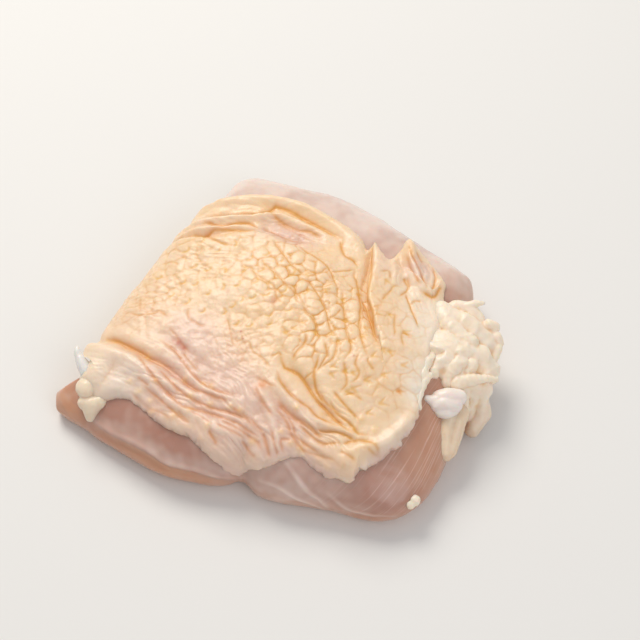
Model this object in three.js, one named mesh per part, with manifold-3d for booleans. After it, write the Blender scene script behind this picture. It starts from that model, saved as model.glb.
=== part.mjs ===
// Raw chicken breast with its skin on, lying skin side up on a flat surface.
// Millimetres, +Z up. +X runs to the fatty end, +Y to the long bare edge of the muscle.
// The skin is a loose, folded sheet over the muscle, and white fat clings to both ends.
// Places on top are measured along the muscle's surface, as if it were rolled out flat.

import * as THREE from "three";
import { mergeVertices } from "three/addons/utils/BufferGeometryUtils.js";
import Module from "manifold-3d";

const wasm = await Module();
wasm.setup();

// Driving dimensions
const CLEARANCE = 0.35; // free space kept between pieces that lie on each other
const CROWN_HEIGHT = 29; // top of the muscle at its thickest
const EDGE_HEIGHT = 16; // top of the muscle where it thins out towards its edges
const CROWN_SPREAD = 60; // how far from the middle the crown falls away
const LEAN = 0.045; // the muscle thins towards the pointed end by this slope
const UNDER_ROUND = 6; // radius between the side and the flat underside
const SKIN_THICKNESS = 2.4; // skin with the fat under it
const SKIN_EDGE = 1.3; // the skin's thickness at its cut border
const SKIN_EDGE_WIDTH = 6; // how far inside its border the skin reaches its full thickness
const SKIN_THINNEST = 0.8; // what is left of the skin at the bottom of a furrow
const ROOT = 2.5; // depth in the muscle from which skin and fat are made, before the muscle is cut from them

// Widest line of the muscle, once round: x, y, its height, and the width of the rounded shoulder inside it.
const MUSCLE_RIM = [
  [-86, -26, 5, 22],
  [-72, -38.5, 6, 18],
  [-46, -55.5, 7, 15],
  [-24, -61, 7, 15],
  [-14.5, -59.5, 6, 14],
  [-6, -66.5, 7, 16],
  [18, -71.5, 8, 18],
  [34, -75.5, 8, 22],
  [46, -72, 8, 26],
  [55, -62, 8, 27],
  [62, -46, 8, 24],
  [67, -26, 9, 18],
  [70, -4, 9, 16],
  [73, 20, 9, 13],
  [70, 28, 9, 12],
  [54, 42, 8, 14],
  [40, 55, 8, 15],
  [23, 66.5, 8, 15],
  [6, 73, 8, 15],
  [-10, 78, 8, 14],
  [-20, 76, 8, 12],
  [-28, 62, 9, 12],
  [-39.5, 45, 10, 12],
  [-60, 13, 9, 12],
  [-70, -5, 7, 12],
  [-79, -16, 6, 14],
];

// Broad swells and hollows of the muscle's top: x, y, radius, height.
const MUSCLE_SWELLS = [
  [-22, 34, 26, 2.6],
  [36, -28, 24, 3.2],
  [-46, -18, 20, 1.6],
  [-26, -6, 15, -2.0],
  [10, -34, 14, -1.8],
];

// The skin's border on top of the muscle, from the pointed end along the near side to the fatty end.
const SKIN_NEAR_BORDER = [
  [-73.5, -21.5], [-70, -28.5], [-64.5, -31.5], [-58.5, -32], [-54.5, -34], [-49.5, -38],
  [-45, -42], [-39, -46.5], [-31.5, -50.5], [-27.5, -55], [-23.5, -58.5], [-18, -65.5], [-10, -62],
  [-2, -60.5], [5, -58], [11, -61], [17.5, -64.5], [24, -66.5], [27, -62.5], [32, -59.5],
  [36, -57.5], [40.5, -52.5], [44.5, -48.5], [47.5, -43], [49, -37.5], [51, -32],
];

// The skin's border on the far side, from the pointed end to the fatty end; two loose corners stand out.
const SKIN_FAR_BORDER = [
  [-34.2, 68.6], [-30, 62], [-25, 57.5], [-19.5, 58], [-9.5, 58.8], [0.5, 56.4], [10.5, 52.8],
  [19, 46.5], [25.5, 41.2], [29.5, 36], [32, 29.5], [35.5, 33.5], [38.5, 28.5], [41.5, 25],
  [45, 30], [48, 36], [53.5, 28.5], [57.5, 22.5], [61.5, 15],
];

// The skin's border under the fat of the broad end.
const SKIN_END_BORDER = [
  [51, -32], [51.5, -27], [54, -19], [56, -10.5], [58.5, -4], [60, 5], [61.5, 15],
];

// Where the skin hangs over the cut side: degrees round the middle, and how far past the widest line.
const SKIN_SIDE_BORDER = [
  [196.3, -18], [191.5, -10], [187, -3], [182, 2], [175, 3], [163, 3.6], [150, 2.6], [137, 3.6],
  [125, 2.8], [116.5, 3],
];

// Folds of the skin: the height over the skin around it, the width to the left and to the right of its route,
// and the route over the muscle. A furrow has a height below nought.
const FOLDS = {
  farRoll: {
    height: 3.4, left: 3.6, right: 3.2,
    route: [[-29, 62], [-22, 54], [-13.5, 54.8], [0, 53], [13.5, 46.3], [23, 38.8], [29.5, 31]],
  },
  farRollFurrow: {
    height: -1.6, left: 2, right: 2,
    route: [[-34, 57], [-25.5, 47.8], [-5.5, 49.8], [1.5, 48.2], [8, 44], [13, 39], [19.5, 33.2]],
  },
  secondRoll: {
    height: 2.9, left: 2.6, right: 2.8,
    route: [[-39, 52], [-30.5, 45.5], [-19, 45.4], [-6, 47], [2, 44], [9.5, 38], [17.5, 31]],
  },
  secondFurrow: {
    height: -1.5, left: 2, right: 2,
    route: [[-42, 47], [-34, 42.5], [-23, 42.3], [-11.5, 41], [0.5, 36.6], [10, 30]],
  },
  farHollow: {
    height: -1.4, left: 3.6, right: 3.6,
    route: [[-13.5, 41], [2, 35.2], [13.5, 27.4], [23, 20.5]],
  },
  plateauRim: {
    height: 1.6, left: 2.6, right: 6,
    route: [[-46, 44], [-33.5, 38.5], [-22.5, 33], [-9.5, 35.3], [0.5, 29.4], [11.5, 22.6], [19, 13.5]],
  },
  flapGroove: {
    height: -2, left: 2.1, right: 2.1,
    route: [[32.6, 31], [31.8, 22], [31.4, 13], [32, 3.5], [34, -6], [36.5, -15]],
  },
  flapEdge: {
    height: 3.2, left: 2.3, right: 6.5,
    route: [[37, 34], [36.2, 25], [35.6, 15], [36, 4], [38.2, -7], [40.5, -15]],
  },
  cornerFold: {
    height: 3.2, left: 2.8, right: 2.6,
    route: [[48.4, 37], [48, 31], [48.8, 24], [51, 18], [53.4, 11]],
  },
  cornerGroove: {
    height: -1.6, left: 2.1, right: 2.1,
    route: [[43.6, 29], [45, 23], [47.6, 17], [50.4, 9]],
  },
  endGroove: {
    height: -1.4, left: 2.1, right: 2.1,
    route: [[58.6, 22], [56.6, 17], [55.8, 10]],
  },
  sideRoll: {
    height: 2.8, left: 2.7, right: 3.2,
    route: [[-79, -3], [-68, -12], [-61, -15.8], [-52.5, -21], [-45, -27.2], [-37, -32], [-28, -37.5]],
  },
  sideGroove: {
    height: -2, left: 2.1, right: 2.1,
    route: [[-74, -2], [-66, -8], [-59.5, -11.2], [-52, -16], [-44, -22.2], [-36.5, -27.4], [-29, -33.5]],
  },
  pointSwell: {
    height: 3.4, left: 7, right: 7,
    route: [[-76, -14], [-70, -20], [-63, -23]],
  },
  sideFoldA: {
    height: 2, left: 2.2, right: 2.4,
    route: [[-56, -22.5], [-49.5, -28], [-42, -35], [-33, -41.2], [-24, -46.4], [-15, -50.5]],
  },
  sideFoldC: {
    height: 2.4, left: 2.3, right: 3.2,
    route: [[-66, -29], [-58.5, -29.6], [-52, -33.8], [-45.5, -40], [-38, -45], [-29.5, -50.6]],
  },
  pinch: {
    height: -1.1, left: 2.3, right: 2.3,
    route: [[-46, -8], [-38, -13.5], [-31, -20.5], [-25, -27]],
  },
  middleGroove: {
    height: -1.6, left: 2.1, right: 2.1,
    route: [[0.5, -20.5], [4, -26], [10.5, -33], [14.5, -40], [19.5, -46.3], [26, -50.5]],
  },
  middleFoldA: {
    height: 1.9, left: 2.2, right: 2.2,
    route: [[-16, -37], [-11.5, -46], [-9, -54], [-8, -60]],
  },
  middleFoldB: {
    height: 2.1, left: 2.2, right: 2.2,
    route: [[-10, -31], [-5, -42], [-1, -52], [1.5, -58]],
  },
  middleFoldC: {
    height: 1.9, left: 2.1, right: 2.1,
    route: [[-4, -33.5], [3.4, -44], [10, -52], [19, -57.4], [28, -60]],
  },
  nearRoll: {
    height: 2.4, left: 2.3, right: 2.6,
    route: [[20, -62], [27, -58], [33.4, -55.4], [39, -50.5], [43.8, -45], [46.5, -38]],
  },
};

const FOLD_STEPS = 28; // straight steps along each fold's route

// Soft unevenness of the skin between its folds: height, and the lengths of the waves along x and y.
const SKIN_UNEVEN = { height: 0.35, long: 11, wide: 7.5 };

// White fat at the broad end: a thick crumpled pad that hangs over the end. Its middle, its reach along x and
// y, its height at its inner and at its outer part, and between which x it rises.
const END_FAT = { x: 68.5, y: -11, reachX: 17.5, reachY: 20, inner: 3.6, outer: 12.5, rise: [58, 74] };
const END_FAT_BORDER = 0.4; // its thickness at its border
const END_FAT_SIDES = 34;
const END_FAT_RINGS = 9;

// Lumps and dents of that fat: x, y, radius, height.
const END_FAT_LUMPS = [
  [60.5, 1.5, 4.2, 2.2],
  [67.5, 5.5, 4.4, 2.0],
  [74, 3.5, 4.0, 2.2],
  [81.5, 0, 4.4, 2.4],
  [66, -2.5, 2.6, -1.8],
  [70.5, -5, 4.4, 1.8],
  [77, -8.5, 4.6, 1.6],
  [57.5, -9, 4.0, 1.8],
  [63.5, -12, 4.2, 1.8],
  [69, -13.5, 2.4, -1.6],
  [75, -17, 4.2, 1.8],
  [57, -18, 3.4, 1.6],
  [64, -20.5, 4.0, 2.0],
  [70, -22, 3.2, -1.2],
  [57.5, -26, 3.6, 1.8],
  [66, -27.5, 3.8, 1.8],
];

// Loose tags of that fat: foot and tip as x, y, z, and the radius at both.
const END_FAT_TAGS = [
  [[71.5, 4.5, 20], [74.8, 9, 22.5], [1.9, 0.9]],
  [[74.5, -17.5, 14], [79.8, -17.8, 12.4], [3, 1.2]],
  [[67, -26, 14], [66.6, -31.5, 11.8], [3.4, 2.4]],
  [[71, -26, 10.5], [69.4, -37.2, 5.6], [4, 3.4]],
  [[75, -22.5, 10.5], [73.8, -32.6, 5.2], [4.3, 3.7]],
];

// Soft lobes that lie on the near side of the broad end: where each starts and ends on the muscle, its radius
// at both, how flat it is, and how far its middle stands off the muscle.
const LOBES = {
  pale_lobe: { from: [51.8, -33.4], to: [64.2, -37], radii: [4.4, 7.4], flat: 0.45, off: 1.6 },
  long_lobe: { from: [66, -38.5], to: [64.6, -58.5], radii: [5.6, 4], flat: 0.65, off: 1.4 },
};

// The fat knob under the pointed end and a fleck of fat on the near side: x, y, distance off, radius.
const KNOB = [
  [-72, -24.5, 1.6, 3.8],
  [-70.5, -31, 1.4, 4.6],
  [-70.5, -35.5, 0.6, 3],
];
const FLECK = [
  [48.6, -72.5, 0.6, 1.9],
  [47.4, -74.5, 0.4, 1.5],
];

// The horn of gristle at the pointed end: its foot on the muscle, the way it points, and its radii.
const GRISTLE = { foot: [-71.5, -14.5], reach: [-6, 6.5, 5], radii: [3.6, 1.4], flat: 0.7 };

const sq = (x) => x * x;
const clamp01 = (x) => Math.min(1, Math.max(0, x));
const mix = (a, b, t) => a + (b - a) * t;

// The row at t, from 0 to 1, on the smooth curve through rows of numbers.
function rowAt(rows, t, closed) {
  const spans = closed ? rows.length : rows.length - 1;
  const place = clamp01(t) * spans;
  const i = Math.min(Math.floor(place), spans - 1);
  const f = place - i;
  const wrap = (k) => (k + rows.length) % rows.length;
  const hold = (k) => Math.min(Math.max(k, 0), rows.length - 1);
  const [a, b, c, d] = [i - 1, i, i + 1, i + 2].map((k) => rows[closed ? wrap(k) : hold(k)]);
  return b.map((_, k) => {
    const slope = c[k] - a[k];
    const bend = 2 * a[k] - 5 * b[k] + 4 * c[k] - d[k];
    const twist = 3 * b[k] - a[k] - 3 * c[k] + d[k];
    return b[k] + 0.5 * (slope * f + bend * f * f + twist * f ** 3);
  });
}

// The rim as a table over the angle round the middle: its reach, its height and its shoulder.
const RIM_STEPS = 720;
const rimTable = makeRimTable();

function makeRimTable() {
  const samples = Array.from({ length: RIM_STEPS * 4 }, (_, i) => {
    const [x, y, height, shoulder] = rowAt(MUSCLE_RIM, i / (RIM_STEPS * 4), true);
    const angle = (Math.atan2(y, x) + 2 * Math.PI) % (2 * Math.PI);
    return { angle, reach: Math.hypot(x, y), height, shoulder };
  }).sort((a, b) => a.angle - b.angle);
  let next = 0;
  return Array.from({ length: RIM_STEPS }, (_, i) => {
    const angle = (i / RIM_STEPS) * 2 * Math.PI;
    while (next < samples.length - 1 && samples[next].angle < angle) next++;
    return samples[next];
  });
}

function rimAt(angle) {
  const turns = angle / (2 * Math.PI);
  const place = (turns - Math.floor(turns)) * RIM_STEPS;
  const a = rimTable[Math.floor(place) % RIM_STEPS];
  const b = rimTable[(Math.floor(place) + 1) % RIM_STEPS];
  const f = place - Math.floor(place);
  return {
    reach: mix(a.reach, b.reach, f),
    height: mix(a.height, b.height, f),
    shoulder: mix(a.shoulder, b.shoulder, f),
  };
}

// The height that round mounds and dents, as rows of x, y, radius and height, add at a place.
function moundHeight(rows, x, y) {
  return rows.reduce((sum, [cx, cy, r, h]) => sum + h * Math.exp(-(sq(x - cx) + sq(y - cy)) / sq(r)), 0);
}

// Height of the muscle's top away from its rounded shoulder.
function crown(x, y) {
  const round = Math.exp(-(sq(x) + sq(y)) / sq(CROWN_SPREAD));
  return EDGE_HEIGHT + (CROWN_HEIGHT - EDGE_HEIGHT) * round + LEAN * x + moundHeight(MUSCLE_SWELLS, x, y);
}

// Length of the shoulder's curve from the crown to the rim.
function shoulderArc(rim, x, y) {
  return (Math.PI / 2) * Math.sqrt((sq(rim.shoulder) + sq(crown(x, y) - rim.height)) / 2);
}

// The muscle's surface at a place measured along it: flat over the crown, then over the shoulder, down the
// side and under.
function surfacePoint(x, y) {
  const reach = Math.hypot(x, y);
  const angle = Math.atan2(y, x);
  const rim = rimAt(angle);
  const inner = rim.reach - rim.shoulder;
  if (reach <= inner) return new THREE.Vector3(x, y, crown(x, y));
  const [ux, uy] = [Math.cos(angle), Math.sin(angle)];
  const turn = ((reach - inner) / shoulderArc(rim, inner * ux, inner * uy)) * (Math.PI / 2);
  if (turn <= Math.PI / 2) {
    const r = inner + rim.shoulder * Math.sin(turn);
    const rise = crown(r * ux, r * uy) - rim.height;
    return new THREE.Vector3(r * ux, r * uy, rim.height + rise * Math.cos(turn));
  }
  const under = Math.min(turn - Math.PI / 2, Math.PI / 2);
  const r = rim.reach - UNDER_ROUND * (1 - Math.cos(under));
  return new THREE.Vector3(r * ux, r * uy, rim.height * (1 - Math.sin(under)));
}

function surfaceNormal(x, y) {
  const step = 0.6;
  const dx = surfacePoint(x + step, y).sub(surfacePoint(x - step, y));
  const dy = surfacePoint(x, y + step).sub(surfacePoint(x, y - step));
  return dx.cross(dy).normalize();
}

// A geometry from points and triangles.
function geometryOf(points, triangles) {
  const made = new THREE.BufferGeometry();
  made.setAttribute("position", new THREE.Float32BufferAttribute(points.flatMap((p) => [p.x, p.y, p.z]), 3));
  made.setIndex(triangles);
  return made;
}

// Two triangles for the four corners of a quad, given counterclockwise as seen from outside.
function pushQuad(triangles, a, b, c, d) {
  triangles.push(a, b, c, a, c, d);
}

// The geometry's bare positions, shared between its triangles.
function welded(geometry) {
  const bare = geometry.clone();
  bare.deleteAttribute("normal");
  bare.deleteAttribute("uv");
  return mergeVertices(bare, 1e-4);
}

function toSolid(geometry) {
  const bare = welded(geometry);
  return new wasm.Manifold(
    new wasm.Mesh({
      numProp: 3,
      vertProperties: new Float32Array(bare.attributes.position.array),
      triVerts: new Uint32Array(bare.index.array),
    }),
  );
}

function toGeometry(solid) {
  const mesh = solid.getMesh();
  const made = new THREE.BufferGeometry();
  made.setAttribute("position", new THREE.BufferAttribute(new Float32Array(mesh.vertProperties), 3));
  made.setIndex(new THREE.BufferAttribute(new Uint32Array(mesh.triVerts), 1));
  made.computeVertexNormals();
  return made;
}

// The largest connected body of a solid, without the scraps that a cut leaves.
function largest(solid) {
  return solid.decompose().reduce((best, piece) => (piece.volume() > best.volume() ? piece : best));
}

// The geometry with its surface moved outwards by a distance.
function grown(geometry, distance) {
  const bare = welded(geometry);
  bare.computeVertexNormals();
  const [place, normal] = [bare.attributes.position, bare.attributes.normal];
  for (let i = 0; i < place.count; i++) {
    place.setXYZ(
      i,
      place.getX(i) + normal.getX(i) * distance,
      place.getY(i) + normal.getY(i) * distance,
      place.getZ(i) + normal.getZ(i) * distance,
    );
  }
  return bare;
}

// The muscle: rings over the crown, the shoulder and the rounded lower edge, closed by a flat underside.
const MUSCLE_SIDES = 76;
const CROWN_RINGS = 5;
const SHOULDER_RINGS = 5;
const UNDER_RINGS = 3;

function muscleGeometry() {
  const points = [surfacePoint(0, 0)];
  const triangles = [];
  const rings = CROWN_RINGS + SHOULDER_RINGS + UNDER_RINGS;
  for (let ring = 1; ring <= rings; ring++) {
    for (let side = 0; side < MUSCLE_SIDES; side++) {
      const angle = (side / MUSCLE_SIDES) * 2 * Math.PI;
      const rim = rimAt(angle);
      const inner = rim.reach - rim.shoulder;
      const arc = shoulderArc(rim, inner * Math.cos(angle), inner * Math.sin(angle));
      const reach =
        ring <= CROWN_RINGS
          ? (ring / CROWN_RINGS) * inner
          : ring <= CROWN_RINGS + SHOULDER_RINGS
            ? inner + ((ring - CROWN_RINGS) / SHOULDER_RINGS) * arc
            : inner + arc * (1 + (ring - CROWN_RINGS - SHOULDER_RINGS) / UNDER_RINGS);
      points.push(surfacePoint(reach * Math.cos(angle), reach * Math.sin(angle)));
    }
  }
  const at = (ring, side) => 1 + (ring - 1) * MUSCLE_SIDES + (side % MUSCLE_SIDES);
  for (let side = 0; side < MUSCLE_SIDES; side++) {
    triangles.push(0, at(1, side), at(1, side + 1));
    for (let ring = 1; ring < rings; ring++) {
      pushQuad(triangles, at(ring, side), at(ring + 1, side), at(ring + 1, side + 1), at(ring, side + 1));
    }
  }
  points.push(new THREE.Vector3(0, 0, 0));
  for (let side = 0; side < MUSCLE_SIDES; side++) {
    triangles.push(points.length - 1, at(rings, side + 1), at(rings, side));
  }
  return geometryOf(points, triangles);
}

// A route through rows of numbers, as even steps along its length.
function evenSteps(rows, count) {
  const fine = Array.from({ length: 401 }, (_, i) => rowAt(rows, i / 400, false));
  const lengths = [0];
  for (let i = 1; i < fine.length; i++) {
    lengths.push(lengths[i - 1] + Math.hypot(fine[i][0] - fine[i - 1][0], fine[i][1] - fine[i - 1][1]));
  }
  let next = 1;
  return Array.from({ length: count + 1 }, (_, i) => {
    const wanted = (i / count) * lengths[400];
    while (next < 400 && lengths[next] < wanted) next++;
    const f = (wanted - lengths[next - 1]) / (lengths[next] - lengths[next - 1]);
    return fine[next].map((value, k) => mix(fine[next - 1][k], value, f));
  });
}

// The height that one fold gives the skin at a place; it fades towards both of its ends.
const foldRoutes = Object.values(FOLDS).map(({ route, ...fold }) => ({
  ...fold,
  steps: evenSteps(route, FOLD_STEPS),
}));

function foldHeight({ height, left, right, steps }, x, y) {
  let nearest = { distance: Infinity, along: 0, side: 1 };
  for (let i = 0; i < FOLD_STEPS; i++) {
    const [ax, ay] = steps[i];
    const [dx, dy] = [steps[i + 1][0] - ax, steps[i + 1][1] - ay];
    const f = clamp01(((x - ax) * dx + (y - ay) * dy) / (dx * dx + dy * dy));
    const distance = Math.hypot(x - ax - f * dx, y - ay - f * dy);
    if (distance < nearest.distance) {
      nearest = { distance, along: (i + f) / FOLD_STEPS, side: dx * (y - ay) - dy * (x - ax) };
    }
  }
  const width = nearest.side > 0 ? left : right;
  const fade = Math.sqrt(Math.sin(Math.PI * mix(0.04, 0.96, nearest.along)));
  return height * fade * Math.exp(-sq(nearest.distance / width));
}

// How far the skin's face stands off the muscle at a place, at a distance from the skin's border.
function skinHeight(x, y, inside) {
  const full = 1 - sq(Math.max(0, 1 - inside / SKIN_EDGE_WIDTH));
  const folds = foldRoutes.reduce((sum, fold) => sum + foldHeight(fold, x, y), 0);
  const { height, long, wide } = SKIN_UNEVEN;
  const waves = Math.sin(x / long + 1.3 * Math.sin(y / wide)) + Math.sin(y / wide - x / (1.7 * long));
  const thickness = mix(SKIN_EDGE, SKIN_THICKNESS, full) + height * waves * full;
  return CLEARANCE + Math.max(SKIN_THINNEST, thickness + folds * mix(0.55, 1, full));
}

// The skin as a patch between its four borders, in places measured along the muscle.
const SKIN_COLUMNS = 62;
const SKIN_ROWS = 48;

function skinPlaces() {
  const near = evenSteps(SKIN_NEAR_BORDER, SKIN_COLUMNS);
  const far = evenSteps(SKIN_FAR_BORDER, SKIN_COLUMNS);
  const end = evenSteps(SKIN_END_BORDER, SKIN_ROWS);
  const side = evenSteps(SKIN_SIDE_BORDER.map(sidePlace), SKIN_ROWS);
  const lerp = (a, b, t) => [mix(a[0], b[0], t), mix(a[1], b[1], t)];
  return Array.from({ length: SKIN_ROWS + 1 }, (_, j) =>
    Array.from({ length: SKIN_COLUMNS + 1 }, (_, i) => {
      const [u, v] = [i / SKIN_COLUMNS, j / SKIN_ROWS];
      const across = lerp(side[j], end[j], u);
      const along = lerp(near[i], far[i], v);
      const corners = lerp(lerp(near[0], near[SKIN_COLUMNS], u), lerp(far[0], far[SKIN_COLUMNS], u), v);
      return [across[0] + along[0] - corners[0], across[1] + along[1] - corners[1]];
    }),
  );
}

function sidePlace([degrees, past]) {
  const angle = THREE.MathUtils.degToRad(degrees);
  const rim = rimAt(angle);
  const inner = rim.reach - rim.shoulder;
  const reach = inner + shoulderArc(rim, inner * Math.cos(angle), inner * Math.sin(angle)) + past;
  return [reach * Math.cos(angle), reach * Math.sin(angle)];
}

function skinGeometry() {
  const places = skinPlaces();
  const [columns, rows] = [SKIN_COLUMNS, SKIN_ROWS];
  const gap = (a, b) => Math.hypot(a[0] - b[0], a[1] - b[1]);
  const outer = [];
  const inner = [];
  for (let j = 0; j <= rows; j++) {
    for (let i = 0; i <= columns; i++) {
      const [x, y] = places[j][i];
      const inside = Math.min(
        (Math.min(i, columns - i) / columns) * gap(places[j][0], places[j][columns]),
        (Math.min(j, rows - j) / rows) * gap(places[0][i], places[rows][i]),
      );
      const normal = surfaceNormal(x, y);
      outer.push(surfacePoint(x, y).addScaledVector(normal, skinHeight(x, y, inside)));
      inner.push(surfacePoint(x, y).addScaledVector(normal, -ROOT));
    }
  }
  const across = columns + 1;
  const top = (i, j) => j * across + i;
  const root = (i, j) => outer.length + top(i, j);
  const triangles = [];
  for (let j = 0; j < rows; j++) {
    for (let i = 0; i < columns; i++) {
      pushQuad(triangles, top(i, j), top(i + 1, j), top(i + 1, j + 1), top(i, j + 1));
      pushQuad(triangles, root(i, j + 1), root(i + 1, j + 1), root(i + 1, j), root(i, j));
    }
  }
  for (let i = 0; i < columns; i++) {
    pushQuad(triangles, root(i, 0), root(i + 1, 0), top(i + 1, 0), top(i, 0));
    pushQuad(triangles, root(i + 1, rows), root(i, rows), top(i, rows), top(i + 1, rows));
  }
  for (let j = 0; j < rows; j++) {
    pushQuad(triangles, root(0, j + 1), root(0, j), top(0, j), top(0, j + 1));
    pushQuad(triangles, root(columns, j), root(columns, j + 1), top(columns, j + 1), top(columns, j));
  }
  return geometryOf([...outer, ...inner], triangles);
}

// A closed body over a round patch of the muscle: rings out to its border, its face at a height over it.
function padGeometry(placeAt, heightAt, sides, rings) {
  const outer = [];
  const inner = [];
  for (let ring = 0; ring <= rings; ring++) {
    for (let side = 0; side < (ring ? sides : 1); side++) {
      const reach = Math.sin((ring / rings) * (Math.PI / 2));
      const [x, y] = placeAt(reach, (side / sides) * 2 * Math.PI);
      const normal = surfaceNormal(x, y);
      outer.push(surfacePoint(x, y).addScaledVector(normal, heightAt(x, y, reach)));
      inner.push(surfacePoint(x, y).addScaledVector(normal, -ROOT));
    }
  }
  const at = (ring, side) => (ring ? 1 + (ring - 1) * sides + (side % sides) : 0);
  const root = (ring, side) => outer.length + at(ring, side);
  const triangles = [];
  for (let side = 0; side < sides; side++) {
    triangles.push(at(0, 0), at(1, side), at(1, side + 1), root(0, 0), root(1, side + 1), root(1, side));
    for (let ring = 1; ring < rings; ring++) {
      pushQuad(triangles, at(ring, side), at(ring + 1, side), at(ring + 1, side + 1), at(ring, side + 1));
      const [near, beyond] = [root(ring, side), root(ring + 1, side)];
      pushQuad(triangles, root(ring, side + 1), root(ring + 1, side + 1), beyond, near);
    }
    pushQuad(triangles, root(rings, side), root(rings, side + 1), at(rings, side + 1), at(rings, side));
  }
  return geometryOf([...outer, ...inner], triangles);
}

const LUMP_DETAIL = 2;
const LUMP_LARGE = 3.5; // a smaller radius gets fewer faces

// A lobe between two points: wider across than it is thick where flat is below one.
function lobeGeometry(from, to, [fromRadius, toRadius], flat, extra) {
  const axis = to.clone().sub(from);
  const length = axis.length();
  const ball = welded(new THREE.IcosahedronGeometry(1, LUMP_DETAIL));
  const place = ball.attributes.position;
  const turn = new THREE.Quaternion().setFromUnitVectors(new THREE.Vector3(0, 1, 0), axis.normalize());
  for (let i = 0; i < place.count; i++) {
    const [px, py, pz] = [place.getX(i), place.getY(i), place.getZ(i)];
    const along = clamp01(0.5 + 0.5 * py);
    const radius = mix(fromRadius, toRadius, along) + extra;
    const point = new THREE.Vector3(px * radius, py * radius + along * length, pz * radius * flat);
    point.applyQuaternion(turn).add(from);
    place.setXYZ(i, point.x, point.y, point.z);
  }
  return ball;
}

// A lobe that lies along the muscle and follows its roundness.
function lyingLobeGeometry({ from, to, radii, flat, off }, extra) {
  const ball = welded(new THREE.IcosahedronGeometry(1, LUMP_DETAIL + 1));
  const place = ball.attributes.position;
  const length = Math.hypot(to[0] - from[0], to[1] - from[1]);
  const [ux, uy] = [(to[0] - from[0]) / length, (to[1] - from[1]) / length];
  for (let i = 0; i < place.count; i++) {
    const [across, along, up] = [place.getX(i), place.getY(i), place.getZ(i)];
    const radius = mix(radii[0], radii[1], 0.5 + 0.5 * along) + extra;
    const ahead = (0.5 + 0.5 * along) * length;
    const [x, y] = [from[0] + ux * ahead + uy * across * radius, from[1] + uy * ahead - ux * across * radius];
    const point = surfacePoint(x, y).addScaledVector(surfaceNormal(x, y), off + up * radius * flat);
    place.setXYZ(i, point.x, point.y, point.z);
  }
  return ball;
}

function lumpGeometry([x, y, off, radius], extra) {
  const middle = surfacePoint(x, y).addScaledVector(surfaceNormal(x, y), off);
  const detail = radius > LUMP_LARGE ? LUMP_DETAIL : LUMP_DETAIL - 1;
  const ball = new THREE.IcosahedronGeometry(radius + extra, detail);
  return ball.translate(middle.x, middle.y, middle.z);
}

// Solids of the fat and the gristle, each made once as it is and once with the clearance round it.
const joined = (geometries) => geometries.map(toSolid).reduce((sum, solid) => sum.add(solid));

function endFat(extra) {
  const { x, y, reachX, reachY, inner, outer, rise } = END_FAT;
  const placeAt = (reach, turn) => {
    const ragged = reach * (1 + 0.05 * Math.sin(5 * turn) + 0.04 * Math.sin(8 * turn + 1));
    return [x + (reachX * ragged + extra) * Math.cos(turn), y + (reachY * ragged + extra) * Math.sin(turn)];
  };
  const heightAt = (px, py, reach) => {
    const high = mix(inner, outer, THREE.MathUtils.smoothstep(px, ...rise));
    const dome = Math.sqrt(Math.max(0, 1 - reach ** 4));
    return (high + moundHeight(END_FAT_LUMPS, px, py)) * dome + CLEARANCE + END_FAT_BORDER + extra;
  };
  const tags = END_FAT_TAGS.map(([foot, tip, radii]) =>
    lobeGeometry(new THREE.Vector3(...foot), new THREE.Vector3(...tip), radii, 0.85, extra),
  );
  return joined([padGeometry(placeAt, heightAt, END_FAT_SIDES, END_FAT_RINGS), ...tags]);
}

function gristle(extra) {
  const foot = surfacePoint(...GRISTLE.foot);
  const tip = foot.clone().add(new THREE.Vector3(...GRISTLE.reach));
  return toSolid(lobeGeometry(foot, tip, GRISTLE.radii, GRISTLE.flat, extra));
}

const lumps = (rows) => (extra) => joined(rows.map((row) => lumpGeometry(row, extra)));
const lyingLobe = (shape) => (extra) => toSolid(lyingLobeGeometry(shape, extra));

// Every piece with the pieces that keep their shape where it meets them.
function buildSolids() {
  const muscle = muscleGeometry();
  const makers = {
    breast_muscle: (extra) => toSolid(extra ? grown(muscle, extra) : muscle),
    gristle_tip: gristle,
    fat_knob: lumps(KNOB),
    end_fat: endFat,
    long_lobe: lyingLobe(LOBES.long_lobe),
    pale_lobe: lyingLobe(LOBES.pale_lobe),
    fat_fleck: lumps(FLECK),
    skin: () => toSolid(skinGeometry()),
  };
  const names = Object.keys(makers);
  return names.map((name, i) => {
    const others = names.slice(0, i).map((other) => makers[other](CLEARANCE));
    const cut = others.reduce((solid, other) => solid.subtract(other), makers[name](0));
    return [name, i === 0 ? cut : largest(cut)];
  });
}

const FINISH = {
  breast_muscle: { color: 0xd0a294, roughness: 0.35 },
  skin: { color: 0xf0cfa6, roughness: 0.42 },
  end_fat: { color: 0xf0e1ca, roughness: 0.4 },
  pale_lobe: { color: 0xe2d5ca, roughness: 0.35 },
  long_lobe: { color: 0xd6c3ae, roughness: 0.35 },
  fat_knob: { color: 0xe6d2b8, roughness: 0.35 },
  gristle_tip: { color: 0xded7cf, roughness: 0.3 },
  fat_fleck: { color: 0xecdcc4, roughness: 0.4 },
};

const breast = new THREE.Group();
for (const [name, solid] of buildSolids()) {
  const material = new THREE.MeshStandardMaterial({ ...FINISH[name], metalness: 0 });
  const mesh = new THREE.Mesh(toGeometry(solid), material);
  mesh.name = name;
  breast.add(mesh);
}

// The origin is under the middle of the whole, on the surface that it lies on.
const box = new THREE.Box3().setFromObject(breast);
breast.position.set(-(box.min.x + box.max.x) / 2, -(box.min.y + box.max.y) / 2, -box.min.z);
breast.updateMatrixWorld(true);

export default breast;
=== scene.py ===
import itertools
import math

import bmesh
import bpy
import numpy as np
from mathutils import Matrix, Vector


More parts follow.
